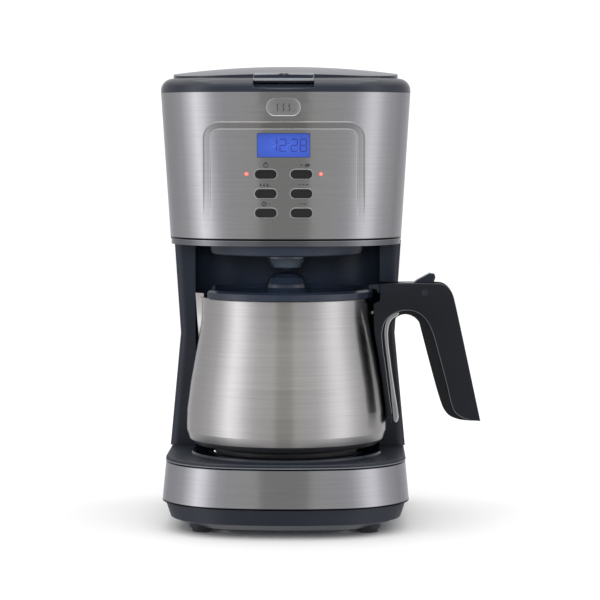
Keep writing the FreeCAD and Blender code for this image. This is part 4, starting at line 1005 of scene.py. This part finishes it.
# Runs of the handle's outlines, seen from the side: (x, z) in millimetres.
LEG_SIDE = [
    (77.6, 75.6), (75.2, 77.4), (74.2, 86), (71.6, 105.8), (68.1, 125.6), (65.2, 142), (64.6, 150),
    (64.4, 164, "sharp"), (69, 166.5, "sharp"), (69, 179.0, "sharp"),
]
GRIP_BACK = [
    (112, 179.0), (115.8, 178.4), (119, 176.5), (121.4, 173.8), (123, 170.4), (124.4, 165.4),
    (143.6, 77.2, "sharp"),
]
FINGER_SIDE = [
    (131, 77.8), (125.4, 79), (121, 81), (117.8, 84.2), (115.6, 88), (114, 92.4), (106.4, 119.4),
    (99.4, 146), (98.4, 149.6), (96.2, 152.6), (93.2, 154.8), (89.6, 156), (86.4, 156), (83.2, 154.9),
    (80.4, 152.6), (78.6, 150.2), (78, 147.2), (78.3, 142), (80.6, 118), (84, 84), (83.2, 79.4), (81, 76.6),
]
CHEEK_SIDE = [
    (135, 78.6), (128.8, 81), (125, 84.4), (122.8, 89), (119.5, 102.5), (112.3, 129.3), (107.4, 145.4),
    (103.2, 152.8), (97.9, 157.4), (91, 159.4), (84.4, 159), (78, 156.2), (73, 151.2), (70.7, 144),
    (70.9, 134), (73.2, 118), (76.6, 92), (78, 83), (78.4, 76.9),
]
STRIP = [
    (82.6, 155.2), (79.6, 153.4), (77.2, 150.4), (75.8, 145.8), (75.6, 138.7), (77.2, 123.4), (80.4, 101),
    (83.0, 84), (83.2, 79.5), (81.9, 76.4), (80.2, 76.0), (79.0, 78.2), (78.5, 83), (76.7, 101), (74.0, 123.4),
    (72.3, 138.7), (72.3, 145.8), (73.6, 151.0), (76.6, 155.2), (80.7, 157.4), (83.4, 157.6),
]


# The arch's ridges lie this deep under the sheet where the arch has faded away.
RIDGE_SUNK = 0.12 * MM
# The deck's bead: its radius, its height above the steel, and the step round the base.
BEAD_ROUND, BEAD_UP, BEAD_STEP = 0.4 * MM, 0.3 * MM, math.radians(4)
# The slot for the lid's lever in the top of the handle: X and Z of its corners, half its width.
SLOT_LOW, SLOT_HIGH, SLOT_HALF = (60.0 * MM, 165.5 * MM), (118.4 * MM, 181.0 * MM), 6.3 * MM
# Radius of the grey bead along a cheek's edge, a painted highlight, and how far in from the cheek's face it runs.
GLINT_ROUND, GLINT_DEEP = 0.42 * MM, 1.1 * MM
PIN_PLACE, PIN_RADIUS, PIN_DEEP = (102.0 * MM, 172.2 * MM), 2.4 * MM, 0.5 * MM
STRIP_WIDER, STRIP_EDGE = 2.2 * MM, 1.1 * MM


def struck(node, start, way):
    """The point where a line from start, going way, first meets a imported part."""
    target = frame["nodes"][node]
    into = target.matrix_world.inverted()
    hit, spot = target.ray_cast(into @ Vector(start), (into.to_3x3() @ Vector(way)).normalized())[:2]
    return target.matrix_world @ spot if hit else None


def half_arch(half, top, corner, foot):
    """The right half of the arch's line as (x, z), from its foot nearly to the middle of its top."""
    side = [(half, foot + (top - corner - foot) * n / 9) for n in range(9)]
    bend = []
    for n in range(7):
        turn = math.radians(15 * n)
        bend.append((half - corner + corner * math.cos(turn), top - corner + corner * math.sin(turn)))
    return side + bend + [((half - corner) * n / 6, top) for n in (5, 4, 3, 2, 1)]


class COFFEE_OT_arch(bpy.types.Operator):
    """Make the two low ridges that edge the pressed arch on the front"""

    bl_idname = "coffee_maker.arch"
    bl_label = "Front arch"

    def execute(self, context):
        size = sizes()
        foot, full = size.relief_fade_low, size.relief_fade_high
        ridges = []
        for away in (-size.ridge_away, size.ridge_away):
            shift = away - size.relief_band / 2
            top = size.relief_top + shift
            right = half_arch(size.relief_outer + shift, top, size.relief_corner + shift, foot)
            left = [(-x, z) for x, z in reversed(right)]
            path = []
            for x, z in right + [(0.0, top)] + left:
                rise = min(1.0, max(0.0, (z - foot) / (full - foot)))
                rise = rise * rise * (3 - 2 * rise)
                sunk = size.ridge_round + RIDGE_SUNK - (size.ridge_proud + RIDGE_SUNK) * rise
                path.append((x, struck("housing_wrap", (x, -0.3, z), (0.0, 1.0, 0.0)).y + sunk, z))
            ridges.append(bead("ridge", path, size.ridge_round))
        fit(weld("front_arch", ridges), "housing_wrap", "brushed_steel", smooth=60.0, stands_for=False)
        return {"FINISHED"}


class COFFEE_OT_deck_bead(bpy.types.Operator):
    """Make the thin bead that runs round the deck, over the steel band of the base; it stands for the deck's
    rounded lip, and its grey is a painted highlight on that lip
    """

    bl_idname = "coffee_maker.deck_bead"
    bl_label = "Deck bead"

    def execute(self, context):
        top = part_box("base_wrap")[1].z
        path = []
        for step in range(-26, 27):
            angle = step * BEAD_STEP
            outward = Vector((math.sin(angle), -math.cos(angle), 0.0))
            spot = struck("base_wrap", outward * 0.4 + Vector((0.0, 0.0, top - 0.4 * MM)), -outward)
            if spot:
                path.append((spot.x, spot.y, top + BEAD_UP))
        line = bead("deck_bead", path, BEAD_ROUND)
        # The grey is a painted highlight on the deck's lip.
        fit(line, "base_shell", "seam_grey", smooth=60.0, stands_for=False)
        return {"FINISHED"}


def pin_cap(spot):
    """The cap of the lid's pin, with a low step round its middle."""
    cap = round_bar("cap", spot, PIN_RADIUS, PIN_DEEP)
    pick(cap, to_front_or_back)
    step_in(0.6 * MM)
    step_in(0.3 * MM)
    bpy.ops.transform.resize(value=(1.0, 0.4, 1.0))
    return soften(cap, 0.1 * MM)


class COFFEE_OT_handle(bpy.types.Operator):
    """Make the handle: a rounded core, two raised cheeks and the bright strip on its inner leg. The core's darker
    black is painted shade, and the grey beads along the cheeks' edges are painted highlights
    """

    bl_idname = "coffee_maker.handle"
    bl_label = "Handle"

    def execute(self, context):
        size = sizes()
        low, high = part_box("carafe_handle")
        middle, thick = (low.y + high.y) / 2, high.y - low.y
        core_thick = thick - 2 * size.grip_step
        core = slab("handle_core", LEG_SIDE + GRIP_BACK + FINGER_SIDE, core_thick, size.edge_break)
        cheeks = slab("handle_cheeks", LEG_SIDE + GRIP_BACK + CHEEK_SIDE, thick, size.edge_break)
        for part in (core, cheeks):
            corners = [(x, middle + y, z) for (x, z), y in ((SLOT_LOW, -SLOT_HALF), (SLOT_HIGH, SLOT_HALF))]
            slot = block("slot", *corners)
            modify(part, "BOOLEAN", operation="DIFFERENCE", object=slot, solver="EXACT")
            bpy.data.objects.remove(slot)
        fit(cheeks, "carafe_handle", "handle_black", smooth=32.0)
        # The core's darker finish is painted shade.
        fit(core, "carafe_handle", "core_black", smooth=32.0, stands_for=False)
        # The grey beads along the cheeks' edges are painted highlights.
        edge_highlights, caps = [], []
        for side in (-1, 1):
            y = middle + side * (thick / 2 - GLINT_DEEP)
            edge_highlights.append(bead("seam", [(x * MM, y, z * MM) for x, z in CHEEK_SIDE[:-1]], GLINT_ROUND))
            caps.append(pin_cap((PIN_PLACE[0], middle + side * thick / 2, PIN_PLACE[1])))
        fit(weld("handle_seam", edge_highlights), "carafe_handle", "seam_grey", smooth=60.0, stands_for=False)
        fit(weld("handle_pin_caps", caps), "carafe_handle", "gloss_black", smooth=35.0, stands_for=False)
        strip = slab("handle_strip", STRIP, core_thick + STRIP_WIDER, STRIP_EDGE)
        fit(strip, "handle_strap", "bright_metal", smooth=50.0)
        return {"FINISHED"}


# ---- stage

# Brightness of the studio round the machine: degrees from straight in front, left is negative.
STUDIO = (
    (-180, 0.56), (-140, 0.38), (-118, 0.40), (-98, 0.49), (-84, 0.78), (-70, 1.18), (-60, 1.02), (-48, 0.66),
    (-38, 0.48), (-28, 0.42), (-12, 0.40), (-11, 0.265), (9, 0.265), (10, 0.40), (28, 0.42), (38, 0.47),
    (48, 0.62), (58, 0.84), (68, 0.96), (76, 0.88), (88, 0.62), (100, 0.48), (126, 0.36), (180, 0.56),
)


def studio_light(scene):
    """Soft light from all round: bright to the left and right, dim in front, white overhead."""
    world = bpy.data.worlds.new("studio")
    scene.world = world
    world.use_nodes = True
    tree = world.node_tree

    def maths(operation, *given):
        return add_node(tree, "Math", "Value", dict(enumerate(given)), operation=operation)

    way = add_node(tree, "SeparateXYZ", "X", {"Vector": add_node(tree, "TexCoord", "Generated")}).node.outputs
    round_about = maths("ARCTAN2", way["X"], maths("MULTIPLY", way["Y"], -1.0))
    turn = maths("MULTIPLY_ADD", round_about, 0.5 / math.pi, 0.5)
    stops = []
    for angle, light in STUDIO:
        blue = 1.05 if abs(angle) > 12 else 0.98
        stops.append((angle / 360 + 0.5, (light, light, light * blue)))
    around = add_ramp(tree, turn, stops)
    feeds = {"Value": way["Z"], "From Min": 0.30, "From Max": 0.80}
    up = add_node(tree, "MapRange", "Result", feeds, interpolation_type="SMOOTHSTEP")
    seen = add_node(tree, "LightPath", "Is Camera Ray").node.outputs
    even = maths("MAXIMUM", seen["Is Camera Ray"], seen["Is Diffuse Ray"])
    feeds = {MIX_AMOUNT: maths("MAXIMUM", even, up), MIX_UNDER: around, MIX_OVER: (1.10, 1.10, 1.10, 1.0)}
    white = add_node(tree, "Mix", MIX_RESULT, feeds, data_type="RGBA")
    tree.links.new(white, tree.nodes["Background"].inputs["Color"])


def facing(place, aim):
    """How a lamp or a camera at one point is turned to look at another."""
    return (Vector(aim) - Vector(place)).to_track_quat("-Z", "Y").to_euler()


def hang_lamp(name, kind, place, aim, **settings):
    """Add a lamp that shines from one point to another."""
    lay_down_tools()
    bpy.ops.object.light_add(type=kind, location=place, rotation=facing(place, aim))
    lamp = bpy.context.object
    lamp.name = name
    for key, setting in settings.items():
        setattr(lamp.data, key, setting)
    return lamp


class COFFEE_OT_stage(bpy.types.Operator):
    """Set up the floor, the soft lights and the camera"""

    bl_idname = "coffee_maker.stage"
    bl_label = "Stage"

    def execute(self, context):
        scene = context.scene
        lay_down_tools()
        bpy.ops.mesh.primitive_plane_add(size=1.0, location=(0.0, 2.15, 0.0))
        context.object.scale = (7.0, 5.7, 1.0)
        floor = started("floor")
        paper = Recipe("floor_paper")
        fibre = paper.noise(300.0, detail=3.0)
        pale = paper.ramp(fibre, (0.3, (0.95, 0.95, 0.95)), (0.7, (0.97, 0.97, 0.97)))
        paper.put(IOR=1.4, Specular_IOR_Level=0.2, Base_Color=pale, Roughness=paper.between(fibre, 0.6, 0.7))
        floor.data.materials.append(paper.material)
        floor.visible_glossy = False

        hang_lamp(
            "overhead_softbox", "AREA", (0.0, -0.1, 2.2), (0.0, 0.0, 0.0),
            shape="RECTANGLE", size=2.6, size_y=2.2, energy=16.0,
        )
        studio_light(scene)
        fill = hang_lamp(
            "bay_fill", "SPOT", (0.0, -0.62, 0.262), (0.0, 0.03, 0.226),
            energy=17.0, shadow_soft_size=0.05, spot_size=math.radians(17), spot_blend=0.5,
            color=(0.92, 0.96, 1.0),
        )
        fill.visible_glossy = False

        place = (0.046, -1.9, 0.288)
        bpy.ops.object.camera_add(location=place, rotation=facing(place, (0.0095, 0.0, 0.1640)))
        camera = context.object
        camera.name = "camera"
        camera.data.lens = 151.6
        camera.data.sensor_width = 36.0
        camera.data.clip_end = 50.0
        scene.camera = camera
        scene.view_settings.view_transform = "Standard"
        return {"FINISHED"}


# ---- panel

OPERATORS = (
    COFFEE_OT_finishes, COFFEE_OT_key_rings, COFFEE_OT_keys, COFFEE_OT_screen, COFFEE_OT_lamps, COFFEE_OT_signs,
    COFFEE_OT_badge, COFFEE_OT_lid_lip, COFFEE_OT_arch, COFFEE_OT_deck_bead, COFFEE_OT_handle, COFFEE_OT_stage,
)


class COFFEE_PT_sidebar(bpy.types.Panel):
    bl_label = "Coffee Maker"
    bl_idname = "COFFEE_PT_sidebar"
    bl_space_type = "VIEW_3D"
    bl_region_type = "UI"
    bl_category = "Coffee Maker"

    def draw(self, context):
        for operator in OPERATORS:
            self.layout.operator(operator.bl_idname)
        for group in (context.scene.coffee_maker_sizes, context.scene.coffee_maker_colours):
            column = self.layout.column()
            for name in group.__annotations__:
                column.prop(group, name)


CLASSES = (CoffeeMakerSizes, CoffeeMakerColours, *OPERATORS, COFFEE_PT_sidebar)


def register():
    for each in CLASSES:
        bpy.utils.register_class(each)
    bpy.types.Scene.coffee_maker_sizes = PointerProperty(type=CoffeeMakerSizes)
    bpy.types.Scene.coffee_maker_colours = PointerProperty(type=CoffeeMakerColours)


def unregister():
    del bpy.types.Scene.coffee_maker_colours
    del bpy.types.Scene.coffee_maker_sizes
    for each in reversed(CLASSES):
        bpy.utils.unregister_class(each)


def main():
    register()
    bpy.ops.coffee_maker.finishes()
    bpy.ops.coffee_maker.key_rings()
    bpy.ops.coffee_maker.keys()
    bpy.ops.coffee_maker.screen()
    bpy.ops.coffee_maker.lamps()
    bpy.ops.coffee_maker.signs()
    bpy.ops.coffee_maker.badge()
    bpy.ops.coffee_maker.lid_lip()
    bpy.ops.coffee_maker.arch()
    bpy.ops.coffee_maker.deck_bead()
    bpy.ops.coffee_maker.handle()
    bpy.ops.coffee_maker.stage()


if __name__ == "__main__":
    main()
